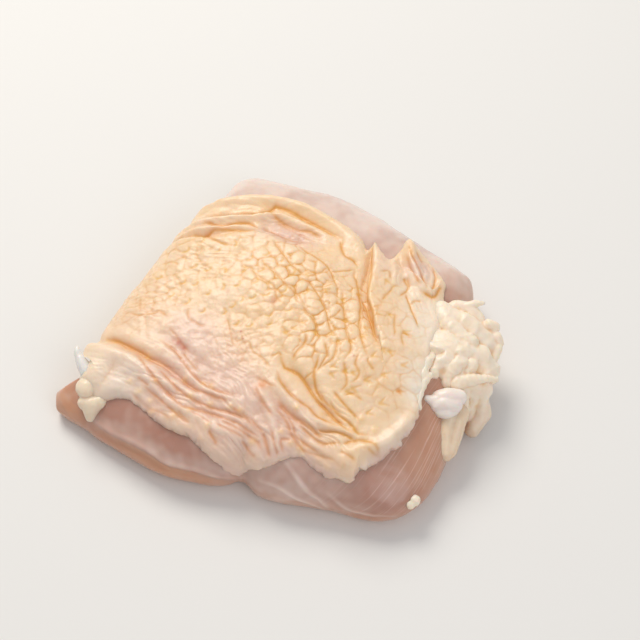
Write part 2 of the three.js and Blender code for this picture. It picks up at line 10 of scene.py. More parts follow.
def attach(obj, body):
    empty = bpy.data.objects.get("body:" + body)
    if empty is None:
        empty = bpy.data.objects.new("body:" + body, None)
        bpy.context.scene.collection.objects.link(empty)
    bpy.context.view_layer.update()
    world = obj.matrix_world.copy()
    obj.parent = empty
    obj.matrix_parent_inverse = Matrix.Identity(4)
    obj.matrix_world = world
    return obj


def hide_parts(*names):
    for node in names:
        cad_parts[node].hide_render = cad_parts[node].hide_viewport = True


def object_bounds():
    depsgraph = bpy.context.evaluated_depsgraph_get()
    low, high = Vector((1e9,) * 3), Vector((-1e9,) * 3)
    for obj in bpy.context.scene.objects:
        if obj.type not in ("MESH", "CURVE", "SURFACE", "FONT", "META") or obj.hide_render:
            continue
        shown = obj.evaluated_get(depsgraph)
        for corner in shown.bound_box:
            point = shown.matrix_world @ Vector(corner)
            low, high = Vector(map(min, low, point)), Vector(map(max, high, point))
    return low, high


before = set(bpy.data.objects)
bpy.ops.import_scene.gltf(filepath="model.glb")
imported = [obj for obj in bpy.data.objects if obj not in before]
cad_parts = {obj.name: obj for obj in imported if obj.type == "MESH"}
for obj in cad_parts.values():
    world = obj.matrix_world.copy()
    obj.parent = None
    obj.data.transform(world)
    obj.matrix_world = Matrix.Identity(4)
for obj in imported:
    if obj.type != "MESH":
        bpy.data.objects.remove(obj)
cad_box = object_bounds()

MM = 0.001  # metres
MIDDLE = np.array([0.268, -1.408, 0.0])  # from the frame's origin to the middle of the muscle, in mm

# The muscle, as the solid has it
CLEARANCE = 0.35  # free space between the muscle and the skin
CROWN_HEIGHT = 29
EDGE_HEIGHT = 16
CROWN_SPREAD = 60
LEAN = 0.045
UNDER_ROUND = 6
SKIN_THICKNESS = 2.4
SKIN_EDGE = 0.6
SKIN_EDGE_WIDTH = 6
SKIN_THINNEST = 0.8
SKIN_FACE_LOWEST = 0.45  # height of its face in the deepest crease

# Widest line of the muscle, once round: x, y, its height, and the width of the rounded shoulder inside it.
MUSCLE_RIM = [
    (-86, -26, 5, 22), (-72, -38.5, 6, 18), (-46, -55.5, 7, 15), (-24, -61, 7, 15), (-14.5, -59.5, 6, 14),
    (-6, -66.5, 7, 16), (18, -71.5, 8, 18), (34, -75.5, 8, 22), (46, -72, 8, 26), (55, -62, 8, 27),
    (62, -46, 8, 24), (67, -26, 9, 18), (70, -4, 9, 16), (73, 20, 9, 13), (70, 28, 9, 12),
    (54, 42, 8, 14), (40, 55, 8, 15), (23, 66.5, 8, 15), (6, 73, 8, 15), (-10, 78, 8, 14),
    (-20, 76, 8, 12), (-28, 62, 9, 12), (-39.5, 45, 10, 12), (-60, 13, 9, 12), (-70, -5, 7, 12),
    (-77.5, -18.5, 6, 14),
]

# Broad swells and hollows of the muscle's top: x, y, radius, height.
MUSCLE_SWELLS = [
    (-22, 34, 26, 2.6), (36, -28, 24, 3.2), (-46, -18, 20, 1.6), (-26, -6, 15, -2.0),
    (10, -34, 14, -1.8),
]

# The skin's border: the near side, the far side, the fatty end, and where it hangs over the cut side, the
# last one in degrees round the middle and how far past the widest line.
SKIN_NEAR_BORDER = [
    (-73.5, -21.5), (-70, -28.5), (-64.5, -31.5), (-58.5, -32), (-54.5, -34), (-49.5, -38), (-45, -42),
    (-39, -46.5), (-31.5, -50.5), (-27.5, -55), (-23.5, -58.5), (-18, -65.5), (-10, -62), (-2, -60.5),
    (5, -58), (11, -61), (17.5, -64.5), (24, -66.5), (27, -62.5), (32, -59.5), (36, -57.5),
    (40.5, -52.5), (44.5, -48.5), (47.5, -43), (49, -37.5), (51, -32),
]
SKIN_FAR_BORDER = [
    (-34.2, 68.6), (-30, 62), (-25, 57.5), (-19.5, 58), (-9.5, 58.8), (0.5, 56.4), (10.5, 52.8), (19, 46.5),
    (25.5, 41.2), (29.5, 36), (32, 29.5), (35.5, 33.5), (38.5, 28.5), (41.5, 25), (45, 30), (48, 36),
    (53.5, 28.5), (57.5, 22.5), (61.5, 15),
]
SKIN_END_BORDER = [(51, -32), (51.5, -27), (54, -19), (56, -10.5), (58.5, -4), (60, 5), (61.5, 15)]
SKIN_SIDE_BORDER = [
    (196.3, -19.4), (191.5, -12), (187, -5), (182, 0.5), (175, 2.4), (163, 3.6), (150, 2.6), (137, 3.6),
    (125, 2.8), (116.5, 3),
]

# Folds of the skin: height, width to the left and to the right of the route, how far the crest leans to the
# left, and the route. A furrow has a height below nought.
FOLDS = {
    "far_roll": (2.9, 4.2, 2.7, 0.3, [(-36, 55), (-29, 54.6), (-22, 53.4), (-13.5, 53.6), (0, 51.6),
        (11, 46), (20, 39), (28, 30)]),
    "roll_gap": (-1.4, 1.5, 1.5, 0, [(-46, 49), (-39, 47.6), (-32, 46.6), (-24, 46.2), (-14, 46.6)]),
    "second_roll": (2.0, 1.5, 1.7, 0, [(-42, 43), (-34, 43), (-28, 43.4), (-20, 43.6), (-12, 43.8),
        (-6, 44.8), (-1, 44.2), (5, 41.2), (11, 37.6), (17, 33.6)]),
    "third_roll": (1.0, 1.2, 1.2, 0, [(-42, 40), (-34, 39), (-27, 39), (-20, 38.8), (-14, 38.8), (-9, 38)]),
    "side_gap": (-1.5, 1.4, 1.4, 0, [(-48, 40.5), (-41, 38.6), (-34, 37), (-28, 36), (-20, 36)]),
    "far_hollow": (-0.9, 3.2, 3.0, 0, [(-9, 38.8), (0, 35.2), (5, 32.6), (10, 30.4), (17, 29)]),
    "plateau_rim": (1.2, 1.9, 6, 0, [(-46, 37), (-37, 36), (-31, 33.6), (-25, 32.6), (-15, 34),
        (-9, 34.2), (-5, 32), (1, 28), (6, 24), (12, 20.4), (19, 12.5)]),
    "flap_groove": (-1.9, 1.5, 1.9, 0, [(33.4, 33), (33, 25.5), (32.2, 18), (30.8, 10.5), (30.4, 5),
        (31, -0.5), (32, -6), (33.4, -12), (35, -17)]),
    "flap_edge": (2.3, 11, 1.1, -1.4, [(35.6, 33.5), (34.6, 24.5), (33.8, 18), (32.8, 10.5), (32.6, 4.5),
        (33.4, -1), (34.2, -6), (35, -13)]),
    "corner_fold": (3.0, 2.6, 2.4, 0, [(48.4, 37), (48, 31), (48.4, 24), (50, 18), (52.4, 12)]),
    "corner_lip": (2.0, 1.1, 3.2, 0.8, [(45, 19.5), (48, 15.5), (51.5, 11), (55, 8.3), (58, 10.5),
        (60, 16)]),
    "corner_groove": (-1.6, 2.1, 2.1, 0, [(43.6, 27), (44.6, 21), (45.6, 15), (46.5, 9)]),
    "side_roll": (2.6, 2.7, 3.2, 0.7, [(-79, -3), (-68, -12), (-61, -15.8), (-52.5, -21), (-45, -27.2),
        (-37, -32), (-28, -37.5)]),
    "side_groove": (-1.8, 2.1, 2.1, 0, [(-74, -2), (-66, -7), (-60, -9.6), (-54.5, -14), (-49, -17.8),
        (-44, -20.6), (-38.5, -25.5), (-31, -32)]),
    "point_swell": (3.2, 8, 8, 0, [(-76, -14), (-70, -20), (-63, -24)]),
    "side_fold_a": (1.5, 2.0, 2.2, 0.4, [(-56, -22.5), (-49.5, -28), (-42, -35), (-33, -41.2),
        (-24, -46.4), (-15, -50.5)]),
    "side_fold_c": (1.1, 2.3, 3.2, 0, [(-66, -29), (-58.5, -29.6), (-52, -33.8), (-45.5, -40), (-38, -45),
        (-29.5, -50.6)]),
    "yellow_ridge": (1.3, 1.7, 1.7, 0.3, [(-36, -22.5), (-32, -29), (-27, -33), (-21, -36), (-15, -38)]),
    "pinch": (-1.1, 2.3, 2.3, 0, [(-46, -8), (-38, -13.5), (-31, -20.5), (-25, -27)]),
    "middle_groove": (-1.5, 2.1, 2.1, 0, [(0.5, -20.5), (4, -26), (10.5, -33), (14.5, -40), (19.5, -46.3),
        (26, -50.5)]),
    "middle_fold_a": (1.2, 1.6, 1.8, 0, [(-9, -33), (-5.5, -39), (-3, -46), (-1.5, -54)]),
    "middle_fold_b": (1.5, 1.7, 2.0, 0, [(-3, -31), (2.5, -38), (7, -44), (13, -50.5)]),
    "middle_fold_c": (1.5, 1.8, 1.8, 0, [(4, -34.5), (8, -41), (13, -46), (20, -49), (27, -52)]),
    "near_roll": (1.8, 2.0, 2.6, 0, [(20, -60), (27, -56.5), (33.4, -54.4), (39, -50), (43.8, -44.6),
        (46.5, -38)]),
}
FOLD_STEPS = 28
SKIN_UNEVEN = (0.35, 11, 7.5)  # height of its soft waves, and their lengths along x and y

# Creases where the skin is bent hard, their lines also painted with shade: depth, width of the line, and the
# route.
CREASES = [
    # far rolls
    (1.2, 0.7, [(-32.5, 47), (-27.5, 46), (-9.5, 46.5), (-7.5, 47), (-5, 49.5), (0.5, 48), (9, 42.5),
        (22, 32.5)]),
    (1.0, 0.65, [(-5, 46), (-3.5, 43.5), (4.5, 38), (9.5, 36.5), (12, 35), (14, 32.5)]),
    (1.2, 0.7, [(-31, 41), (-29, 42), (-26.5, 40.5), (-23.5, 40), (-14.5, 41), (-10, 38)]),
    (0.9, 0.6, [(-34, 37.5), (-30.5, 36), (-26, 38), (-14.5, 36.5), (-11, 37)]),
    (0.8, 0.6, [(-33, 36), (-30.5, 35.5), (-25.5, 31.5), (-20, 29)]),
    (0.5, 0.5, [(-8, 39), (2, 32.5), (6, 31.5)]),
    (0.5, 0.5, [(-4, 42.5), (10, 32.5)]),
    (0.9, 0.7, [(22, 32.5), (21.5, 29), (22, 26), (23, 23.5), (26.5, 21), (27.5, 18.5)]),
    # middle
    (0.8, 0.5, [(-4, 30.5), (2.5, 18.5), (8.5, 12)]),
    (0.8, 0.55, [(8.5, 12), (15, -0.5), (17.5, -11), (20, -14.5)]),
    (0.7, 0.5, [(-8, 22), (-7, 19), (-1, 11.5), (0.5, 9), (4, 5.5), (5.5, 1), (7, 0)]),
    (0.5, 0.5, [(-16.5, 21.5), (-14, 18.5), (-11.5, 17.5), (-10, 14), (-3, 7.5), (-2, 2.5), (2, -0.5)]),
    (0.8, 0.55, [(6, 28), (8, 25), (16.5, 16.5), (20, 7)]),
    (0.5, 0.5, [(8.5, 12), (13.5, 14), (15.5, 16), (17, 16)]),
    (0.5, 0.5, [(17, 14.5), (26.5, 17)]),
    (0.5, 0.5, [(11, 7), (18.5, 9)]),
    (0.6, 0.5, [(20, 8), (20, 3)]),
    (0.7, 0.55, [(21.5, 6.5), (22, 4), (23, -10), (25, -19.5), (22.5, -24)]),
    (0.6, 0.5, [(22.5, -24), (23.5, -32), (21.5, -35.5)]),
    (0.9, 0.6, [(26.5, 17), (26, 15), (27.5, 9.5), (28.5, 0), (28, -7.5), (28, -11.5), (29.5, -19),
        (31, -23)]),
    (0.6, 0.5, [(31, -23), (31, -25), (33, -28)]),
    (0.6, 0.5, [(28, -21.5), (26.5, -25), (28, -29.5), (25, -32.5)]),
    (1.1, 0.6, [(33.5, 29.5), (34, 17), (32, 3.5), (33.5, -2.5), (33, -10.5), (34.5, -16.5)]),
    (0.9, 0.6, [(29, 3.5), (31, -1), (33, -11)]),
    (0.7, 0.5, [(7, 0), (9, -4), (11, -6.5), (12.5, -12.5), (9, -17.5)]),
    (0.8, 0.55, [(8.5, -12), (8.5, -15.5), (4.5, -21), (4.5, -23)]),
    (0.7, 0.55, [(20, -14.5), (20, -18.5), (18.5, -23), (14, -26)]),
    (0.7, 0.55, [(15.5, -16), (16.5, -20.5), (16, -22.5), (12.5, -28)]),
    (1, 0.6, [(13.5, -21), (12, -27), (12, -31.5), (13.5, -36), (16, -40)]),
    (0.6, 0.5, [(12, -27), (7.5, -30)]),
    (0.5, 0.45, [(14.5, 0), (16.5, 1), (17.5, -0.5)]),
    (0.5, 0.45, [(17, -7), (20, -4), (21.5, -2)]),
    # flap and corner
    (0.4, 0.5, [(37, 15.5), (38.5, 16.5), (40, 16.5), (40.5, 15), (40.5, 13)]),
    (0.5, 0.5, [(37, 2), (41.5, 9.5), (43.5, 10.5)]),
    (0.6, 0.5, [(43.5, 5.5), (46.5, 10), (46, 15)]),
    (0.8, 0.5, [(45.5, 8), (49.5, -8.5)]),
    (0.3, 0.45, [(47, 2), (49, 4.5), (51.5, 4.5)]),
    (0.5, 0.5, [(41.5, -3.5), (41, -7), (40.5, -14)]),
    (0.4, 0.5, [(43.5, -18), (43, -13), (44, -12), (47, -13)]),
    (1.1, 0.6, [(47.5, 29.5), (48, 25.5), (52, 14.5), (52.5, 9)]),
    (0.9, 0.6, [(46.5, 25), (49, 13.5), (50.5, 11)]),
    (0.6, 0.5, [(50, 27), (52.5, 22.5)]),
    (0.7, 0.5, [(56.5, 21.5), (57, 15.5), (55, 7.5)]),
    (1.1, 0.6, [(51, 8.5), (53, 7), (55.5, 6), (58, 8.5), (59.5, 12.5)]),
    (0.7, 0.5, [(45, 15), (47, 10.5)]),
    (0.4, 0.5, [(51.5, -27), (54.5, -15.5)]),
    # left of the plateau
    (0.5, 0.5, [(-57, 3.5), (-53, 1), (-47, 1.5), (-46, 2.5), (-42, -1.5)]),
    (0.5, 0.5, [(-35, 2.5), (-34.5, -2), (-31, -5), (-28, -6)]),
    (0.3, 0.5, [(-45.5, 25.5), (-41.5, 25), (-39.5, 23)]),
    (0.3, 0.5, [(-53, 10), (-53, 3)]),
    (0.3, 0.5, [(-20, -3), (-17.5, -14.5), (-15.5, -16.5)]),
    (0.5, 0.5, [(-12, -14), (-10.5, -18.5), (-7.5, -21), (-4, -25.5)]),
    # near side, from the point to the middle
    (1.5, 0.75, [(-65, -6.5), (-62.5, -7.5), (-51, -15.5), (-48.5, -18), (-43, -21.5), (-38.5, -25.5)]),
    (1.1, 0.65, [(-37, -27), (-31, -32.5), (-18.5, -38)]),
    (1, 0.65, [(-53, -16), (-46.5, -27), (-36, -38.5), (-34.5, -39.5), (-26.5, -41.5), (-14.5, -46.5)]),
    (1.1, 0.65, [(-45, -22.5), (-40, -29.5), (-35, -34.5), (-27, -39), (-17, -42.5), (-12, -45),
        (-8, -49)]),
    (0.5, 0.5, [(-52, -26.5), (-47.5, -30.5)]),
    (0.7, 0.55, [(-50, -29.5), (-33, -45.5)]),
    (0.9, 0.6, [(-54, -31.5), (-48, -37.5), (-42.5, -40.5), (-39.5, -43)]),
    (0.5, 0.5, [(-37, -40.5), (-32.5, -45.5)]),
    (0.6, 0.5, [(-32, -41.5), (-30, -42.5), (-24.5, -46.5)]),
    (1, 0.7, [(-44.5, -11.5), (-39, -16.5), (-32.5, -26), (-25.5, -32.5), (-16, -36)]),
    (0.5, 0.5, [(-36.5, -16.5), (-30.5, -25)]),
    (0.4, 0.5, [(-41.5, -6.5), (-34.5, -16.5)]),
    (0.9, 0.55, [(-17.5, -40), (-10.5, -45.5)]),
    (0.7, 0.5, [(-26, -41.5), (-16, -46), (-8, -51)]),
    (0.6, 0.5, [(-23, -46.5), (-16, -49.5), (-12.5, -51.5)]),
    (0.6, 0.5, [(-22, -44.5), (-9.5, -51.5), (-6.5, -55.5)]),
    (0.5, 0.5, [(-11, -44.5), (-6, -50.5)]),
    (0.7, 0.5, [(-25.5, -48), (-22.5, -52.5)]),
    (0.7, 0.5, [(-14.5, -51.5), (-8, -58)]),
    (0.9, 0.7, [(-10, -32.5), (-5, -41.5), (-3, -44)]),
    (0.5, 0.5, [(-8.5, -29), (-7, -30.5), (-2.5, -33)]),
    (0.8, 0.5, [(-6.5, -49.5), (-3.5, -58)]),
    (0.7, 0.5, [(-3.5, -49.5), (-1, -57.5)]),
    (0.6, 0.5, [(4, -53), (0, -52.5), (1, -56.5)]),
    # middle, below
    (0.5, 0.5, [(-4, -20.5), (-2.5, -20.5), (-1, -19.5), (0, -21)]),
    (1.2, 0.65, [(-0.5, -20), (0, -23), (2, -26.5), (4.5, -26.5), (8, -30), (13, -38), (22.5, -49),
        (24.5, -50.5)]),
    (1, 0.65, [(-1.5, -27.5), (-0.5, -31), (4.5, -37.5), (10, -41.5), (13, -45), (19.5, -48)]),
    (1.5, 0.8, [(-1.5, -38.5), (2.5, -43), (13, -51), (13.5, -53)]),
    (0.8, 0.6, [(-2.5, -41), (2, -46.5), (4, -51.5), (6.5, -55), (10, -57), (17.5, -59), (20.5, -61)]),
    (0.8, 0.55, [(1.5, -43), (4.5, -48.5), (5.5, -52), (14.5, -58)]),
    (0.9, 0.6, [(6.5, -47.5), (11, -52), (15, -54.5), (21, -54.5)]),
    (1, 0.6, [(13, -48.5), (14, -50), (21, -51), (26.5, -54)]),
    (0.8, 0.55, [(14, -35), (16, -39), (22, -45)]),
    (0.9, 0.55, [(17.5, -39), (20, -43.5), (24.5, -47.5), (27, -51), (30, -51.5)]),
    (0.8, 0.5, [(19, -35), (22, -39.5), (27.5, -46)]),
    (0.5, 0.5, [(23, -37), (25.5, -36.5), (29, -39)]),
    (0.8, 0.6, [(21.5, -55), (24.5, -54), (31.5, -54), (33.5, -57.5)]),
    (0.7, 0.5, [(29.5, -56), (34, -58)]),
    (0.6, 0.5, [(20.5, -57), (25.5, -59.5)]),
]

# V-shaped pits where large feathers stood: x, y, degrees of the way they open, length.
FEATHER_PITS = [
    (20.5, -16.2, -25, 2.2), (24.6, -16.5, -5, 2.4), (29.3, -14, -30, 2.2), (18.5, -26, 10, 2.8),
    (23.6, -35.5, -5, 2.8), (25.5, -28.8, -15, 2.2), (32.5, -22.5, 20, 2.4), (38.5, -20.5, -25, 2.4),
    (7.4, -7.6, -20, 2.2), (39.5, -4, -35, 2.4), (36, -20, -20, 2.8), (43, -25.5, 5, 2.6),
    (36, -29.5, -10, 3.0), (30, -31.5, 5, 3.0), (25.5, -34.5, -15, 3.2), (35, -40, 20, 3.2),
    (30.5, -43.5, 10, 2.8), (41.5, -35, -30, 1.8), (22.5, -28, 0, 2.4), (18, -28.5, -25, 2.6),
    (44, -11.5, -15, 3.0), (27.5, 5.5, -25, 2.2), (21.5, 2.5, -20, 2.4), (22.5, -7, -10, 2.4),
    (15.5, 6.5, -30, 2.2), (8.5, 13.5, -30, 2.2), (12, -12, -15, 2.2), (1, -11.5, -20, 2.4),
    (4, -10, 10, 2.0), (39, 12, -70, 2.6), (30, -10.5, -20, 2.2), (17.5, -13, 5, 2.2),
]

# Feather marks of the smooth part: small bumps, each with a yellow furrow round one side.
FEATHER_MARKS = [
    (-28, 9), (-23, 10.5), (-17, 11), (-22.5, 17.5), (-15.5, 17.5), (-10.5, 11.5), (-8.5, 17),
    (-11, 5), (-15.5, 4), (-18.5, 2.5), (-6, 5.5), (0, 6.5), (-13, 23), (-5, -3), (-12, -7),
    (-5, -6.5), (-22, 0), (-33, 14), (-28.5, 20), (-34, 22), (-38, 15.5), (-30, 1.5), (-36, 6),
    (-42, 10), (-25, 28), (-19, 29.5), (-37, 30), (-31, 33), (3, 14.5), (-1.5, 20.5), (-7, 24.5),
    (2, -1.5), (8, 6), (-17, -5.5), (-47, 19.5),
]

# Yellow grains of fat in the thin skin of the near side.
YELLOW_GRAINS = [
    (-47, -35.5), (-46.5, -39.5), (-38.5, -42), (-54.5, -27.5), (-45.5, -29), (-49, -17), (-35, -28),
    (-32.5, -35.5), (-28, -30.5), (-25, -31.5), (-25, -38.5), (-18, -40), (-14.5, -41.6), (-26, -47),
    (-32.5, -40.5), (-9.5, -52.5), (0, -50), (3.5, -54), (5.5, -42), (14.5, -43.5), (26, -49),
    (28.5, -46), (13, -59.5), (7, -55.5), (-41, -49), (-28.5, -50.5), (-51, -31.5), (16, -61.5),
    (22, -61), (33, -50),
]
GRAIN_RADIUS = 1.25

# Small stains: x, y, radius, share.
ORANGE_SPOTS = [(-7, -32, 1.8, 0.75), (41.5, -35, 0.8, 0.8), (9, 9.5, 1.0, 0.45), (-3, 2.5, 1.3, 0.4)]
RED_SPOTS = [
    (-38.2, -12.6, 1.3, 0.6), (-36.2, -14.6, 1.1, 0.55), (-40, -11.6, 0.8, 0.35),
    (-14.7, -10, 0.35, 0.9), (-14, -13, 0.35, 0.8), (-3.5, 1.5, 1.4, 0.3), (26, -22.5, 0.5, 0.5),
]


def hex_colour(text):
    """A linear colour from an sRGB hex value."""
    parts = [int(text[i:i + 2], 16) / 255 for i in (1, 3, 5)]
    return tuple(c / 12.92 if c <= 0.04045 else ((c + 0.055) / 1.055) ** 2.4 for c in parts) + (1.0,)


def mix(a, b, t):
    return a + (b - a) * t


def clamp01(values):
    return np.clip(values, 0, 1)


def smooth_step(low, high, values):
    t = clamp01((values - low) / (high - low))
    return t * t * (3 - 2 * t)


# Seeded noise

NOISE_TABLE = 256
NOISE_SHIFT = 13.7  # cells between one seed's noise and the next one's
NOISE_GAIN = 1.7
dice = np.random.default_rng(41)
NOISE_HASH = dice.permutation(NOISE_TABLE)
NOISE_SLOPES = dice.normal(size=(NOISE_TABLE, 3))
NOISE_SLOPES /= np.linalg.norm(NOISE_SLOPES, axis=1)[:, None]


def noise(points, size, seed=0):
    """Smooth noise from about -1 to 1 over rows of points in mm, with lumps of a size in mm."""
    places = points / size + NOISE_SHIFT * (seed + 1)
    base = np.floor(places).astype(int)
    inside = places - base
    ease = inside ** 3 * (inside * (inside * 6 - 15) + 10)
    total = np.zeros(len(points))
    for corner in itertools.product((0, 1), repeat=3):
        cell = base + corner
        slot = NOISE_HASH[cell[:, 0] % NOISE_TABLE]
        slot = NOISE_HASH[(slot + cell[:, 1]) % NOISE_TABLE]
        slot = NOISE_HASH[(slot + cell[:, 2]) % NOISE_TABLE]
        pull = np.sum(NOISE_SLOPES[slot] * (inside - corner), axis=1)
        total += pull * np.prod(np.where(np.array(corner) == 1, ease, 1 - ease), axis=1)
    return NOISE_GAIN * total


def flat_points(x, y):
    return np.stack([x, y, np.zeros_like(x)], axis=1)


def wrinkles(x, y, heading, across, along, seed):
    """Rows of soft ridges with sharp furrows between, from 0 to about 1, that run along a heading."""
    turn = math.radians(heading)
    ahead = (x * math.cos(turn) + y * math.sin(turn)) / along
    aside = (-x * math.sin(turn) + y * math.cos(turn)) / across
    bend = noise(flat_points(x, y), 9, seed + 5)
    return np.abs(noise(flat_points(ahead, aside + 0.9 * bend), 1, seed)) * 2


CELL_TABLE, CELL_JITTER = 64, 0.24  # cells before the field repeats, and how far their middles stray


def cell_middles(x, y, size, stretch, heading, seed):
    """Distances to the nearest, second and third middle of a field of soft cells, in mm."""
    turn = math.radians(heading)
    u = (x * math.cos(turn) + y * math.sin(turn)) / (size * stretch)
    v = (-x * math.sin(turn) + y * math.cos(turn)) / size
    row_gap = math.sqrt(0.75)
    table = np.random.default_rng(seed).uniform(-1, 1, (CELL_TABLE, CELL_TABLE, 2)) * CELL_JITTER
    j0 = np.floor(v / row_gap).astype(int)
    distances = []
    for dj in range(-2, 3):
        j = j0 + dj
        shift = 0.5 * (j % 2)
        i0 = np.floor(u - shift).astype(int)
        for di in range(-2, 4):
            i = i0 + di
            jitter = table[i % CELL_TABLE, j % CELL_TABLE]
            across = (i + shift + jitter[:, 0] - u) * stretch
            distances.append(np.hypot(across, j * row_gap + jitter[:, 1] - v))
    nearest = np.partition(np.array(distances), 2, axis=0)[:3]
    return np.sort(nearest, axis=0) * size


# The muscle's surface

def curve_rows(rows, t, closed=False):
    """The smooth curve through rows of numbers, at places t from 0 to 1."""
    rows = np.asarray(rows, float)
    spans = len(rows) if closed else len(rows) - 1
    place = np.clip(t, 0, 1) * spans
    start = np.minimum(place.astype(int), spans - 1)
    f = (place - start)[:, None]

    def row(k):
        return rows[(start + k) % len(rows)] if closed else rows[np.clip(start + k, 0, len(rows) - 1)]

    a, b, c, d = row(-1), row(0), row(1), row(2)
    return b + 0.5 * ((c - a) * f + (2 * a - 5 * b + 4 * c - d) * f ** 2 + (3 * b - a - 3 * c + d) * f ** 3)


RIM_STEPS, ROUTE_STEPS = 2880, 800  # points on the smooth rim, and on any smooth route


def rim_table():
    """Reach, height and shoulder of the muscle's widest line, by the angle round the middle."""
    rows = curve_rows(MUSCLE_RIM, np.arange(RIM_STEPS) / RIM_STEPS, closed=True)
    angles = np.arctan2(rows[:, 1], rows[:, 0]) % (2 * math.pi)
    order = np.argsort(angles)
    return angles[order], np.stack([np.hypot(rows[:, 0], rows[:, 1]), rows[:, 2], rows[:, 3]])[:, order]


RIM_ANGLES, RIM_COLUMNS = rim_table()


def rim_at(angle):
    return [np.interp(angle, RIM_ANGLES, column, period=2 * math.pi) for column in RIM_COLUMNS]


def crown(x, y):
    """Height of the muscle's top away from its rounded shoulder."""
    dome = np.exp(-(x * x + y * y) / CROWN_SPREAD ** 2)
    height = EDGE_HEIGHT + (CROWN_HEIGHT - EDGE_HEIGHT) * dome + LEAN * x
    for cx, cy, radius, swell in MUSCLE_SWELLS:
        height = height + swell * np.exp(-((x - cx) ** 2 + (y - cy) ** 2) / radius ** 2)
    return height


def shoulder_arc(angle):
    """Length of the shoulder's curve from the crown to the rim, and where it starts."""
    rim, height, shoulder = rim_at(angle)
    inner = rim - shoulder
    rise = crown(inner * np.cos(angle), inner * np.sin(angle)) - height
    return math.pi / 2 * np.sqrt((shoulder ** 2 + rise ** 2) / 2), inner


def surface_point(x, y):
    """The muscle's surface at places measured along it: crown, shoulder, side and under."""
    reach, angle = np.hypot(x, y), np.arctan2(y, x)
    rim, height, shoulder = rim_at(angle)
    arc, inner = shoulder_arc(angle)
    ux, uy = np.cos(angle), np.sin(angle)
    turn = (reach - inner) / arc * math.pi / 2
    over = np.clip(turn, 0, math.pi / 2)
    under = np.clip(turn - math.pi / 2, 0, math.pi / 2)
    r = np.where(turn <= 0, reach, inner + shoulder * np.sin(over) - UNDER_ROUND * (1 - np.cos(under)))
    top = crown(r * ux, r * uy)
    above, below = height + (top - height) * np.cos(over), height * (1 - np.sin(under))
    z = np.where(turn <= 0, top, np.where(under > 0, below, above))
    return np.stack([r * ux, r * uy, z], axis=-1)


def surface_normal(x, y, step=0.6):
    dx = surface_point(x + step, y) - surface_point(x - step, y)
    dy = surface_point(x, y + step) - surface_point(x, y - step)
    normal = np.cross(dx, dy)
    return normal / np.linalg.norm(normal, axis=-1, keepdims=True)


def even_steps(rows, count):
    """A smooth route through rows of numbers, as even steps along its length."""
    fine = curve_rows(rows, np.arange(ROUTE_STEPS + 1) / ROUTE_STEPS)
    lengths = np.concatenate([[0], np.cumsum(np.linalg.norm(np.diff(fine, axis=0), axis=1))])
    wanted = np.arange(count + 1) / count * lengths[-1]
    return np.stack([np.interp(wanted, lengths, column) for column in fine.T], axis=1)


def along_route(x, y, route, steps, reach):
    """For places within reach of a route: their mask, distance, share of its length, side, and way across."""
    points = even_steps(route, steps)
    near = (x > points[:, 0].min() - reach) & (x < points[:, 0].max() + reach)
    near &= (y > points[:, 1].min() - reach) & (y < points[:, 1].max() + reach)
    px, py = x[near], y[near]
    distance, share = np.full(px.shape, 1e9), np.zeros(px.shape)
    side, across = np.ones(px.shape), np.zeros(px.shape + (2,))
    for i in range(steps):
        (ax, ay), (dx, dy) = points[i], points[i + 1] - points[i]
        f = clamp01(((px - ax) * dx + (py - ay) * dy) / (dx * dx + dy * dy))
        d = np.hypot(px - ax - f * dx, py - ay - f * dy)
        closer = d < distance
        distance = np.where(closer, d, distance)
        share = np.where(closer, (i + f) / steps, share)
        side = np.where(closer, dx * (py - ay) - dy * (px - ax), side)
        across[closer] = (-dy / math.hypot(dx, dy), dx / math.hypot(dx, dy))
    return near, distance, share, side, across


def zone(x, y, cx, cy, radius, hard=2):
    """A round region that fades out: 1 in its middle, 0 well outside its radius."""
    return np.exp(-(((x - cx) ** 2 + (y - cy) ** 2) / radius ** 2) ** (hard / 2))


def patches(x, y, rows, hard=2):
    """Round regions added up, given as rows of x, y, radius and share."""
    return sum(share * zone(x, y, cx, cy, radius, hard) for cx, cy, radius, share in rows)


def waves(points, rows):
    """Soft waves added up, given as rows of height, length and seed."""
    return sum(height * noise(points, length, seed) for height, length, seed in rows)


def ridge(distance, width, hard=2):
    """A rounded crest: 1 on its line, fading over its width."""
    return np.exp(-(distance / width) ** hard)


def tapered(share, blunt):
    """Fullness along a route, which rises from its start and falls to its end."""
    return np.sqrt(np.sin(math.pi * mix(blunt, 1 - blunt, share)))


# Meshes

def make_piece(name, points_mm, faces, material):
    """A smooth mesh object from points in mm round the muscle's middle."""
    points = (points_mm + MIDDLE) * MM
    low, high = np.array(cad_box[0]), np.array(cad_box[1])
    points = np.clip(points, low, high)
    mesh = bpy.data.meshes.new(name)
    mesh.from_pydata(points, [], faces)
    mesh.update()
    mesh.polygons.foreach_set("use_smooth", [True] * len(mesh.polygons))
    mesh.materials.append(material)
    piece = bpy.data.objects.new(name, mesh)
    bpy.context.scene.collection.objects.link(piece)
    return piece


def store(piece, **values):
    """Keeps one number, or a row of three, for each point of the mesh, which the material reads by name."""
    for name, rows in values.items():
        rows = np.asarray(rows, np.float32)
        if rows.ndim == 2:
            piece.data.attributes.new(name, "FLOAT_VECTOR", "POINT").data.foreach_set("vector", rows.ravel())
        else:
            piece.data.attributes.new(name, "FLOAT", "POINT").data.foreach_set("value", rows)


def grid_quads(columns, rows, first=0):
    """Quads of a grid of points that has columns + 1 points a row, as seen from outside."""
    i, j = np.meshgrid(np.arange(columns), np.arange(rows))
    a = first + j * (columns + 1) + i
    return np.stack([a, a + 1, a + columns + 2, a + columns + 1], axis=-1).reshape(-1, 4)


def dress(piece, node):
    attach(piece, "root")
    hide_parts(node)


# Muscle

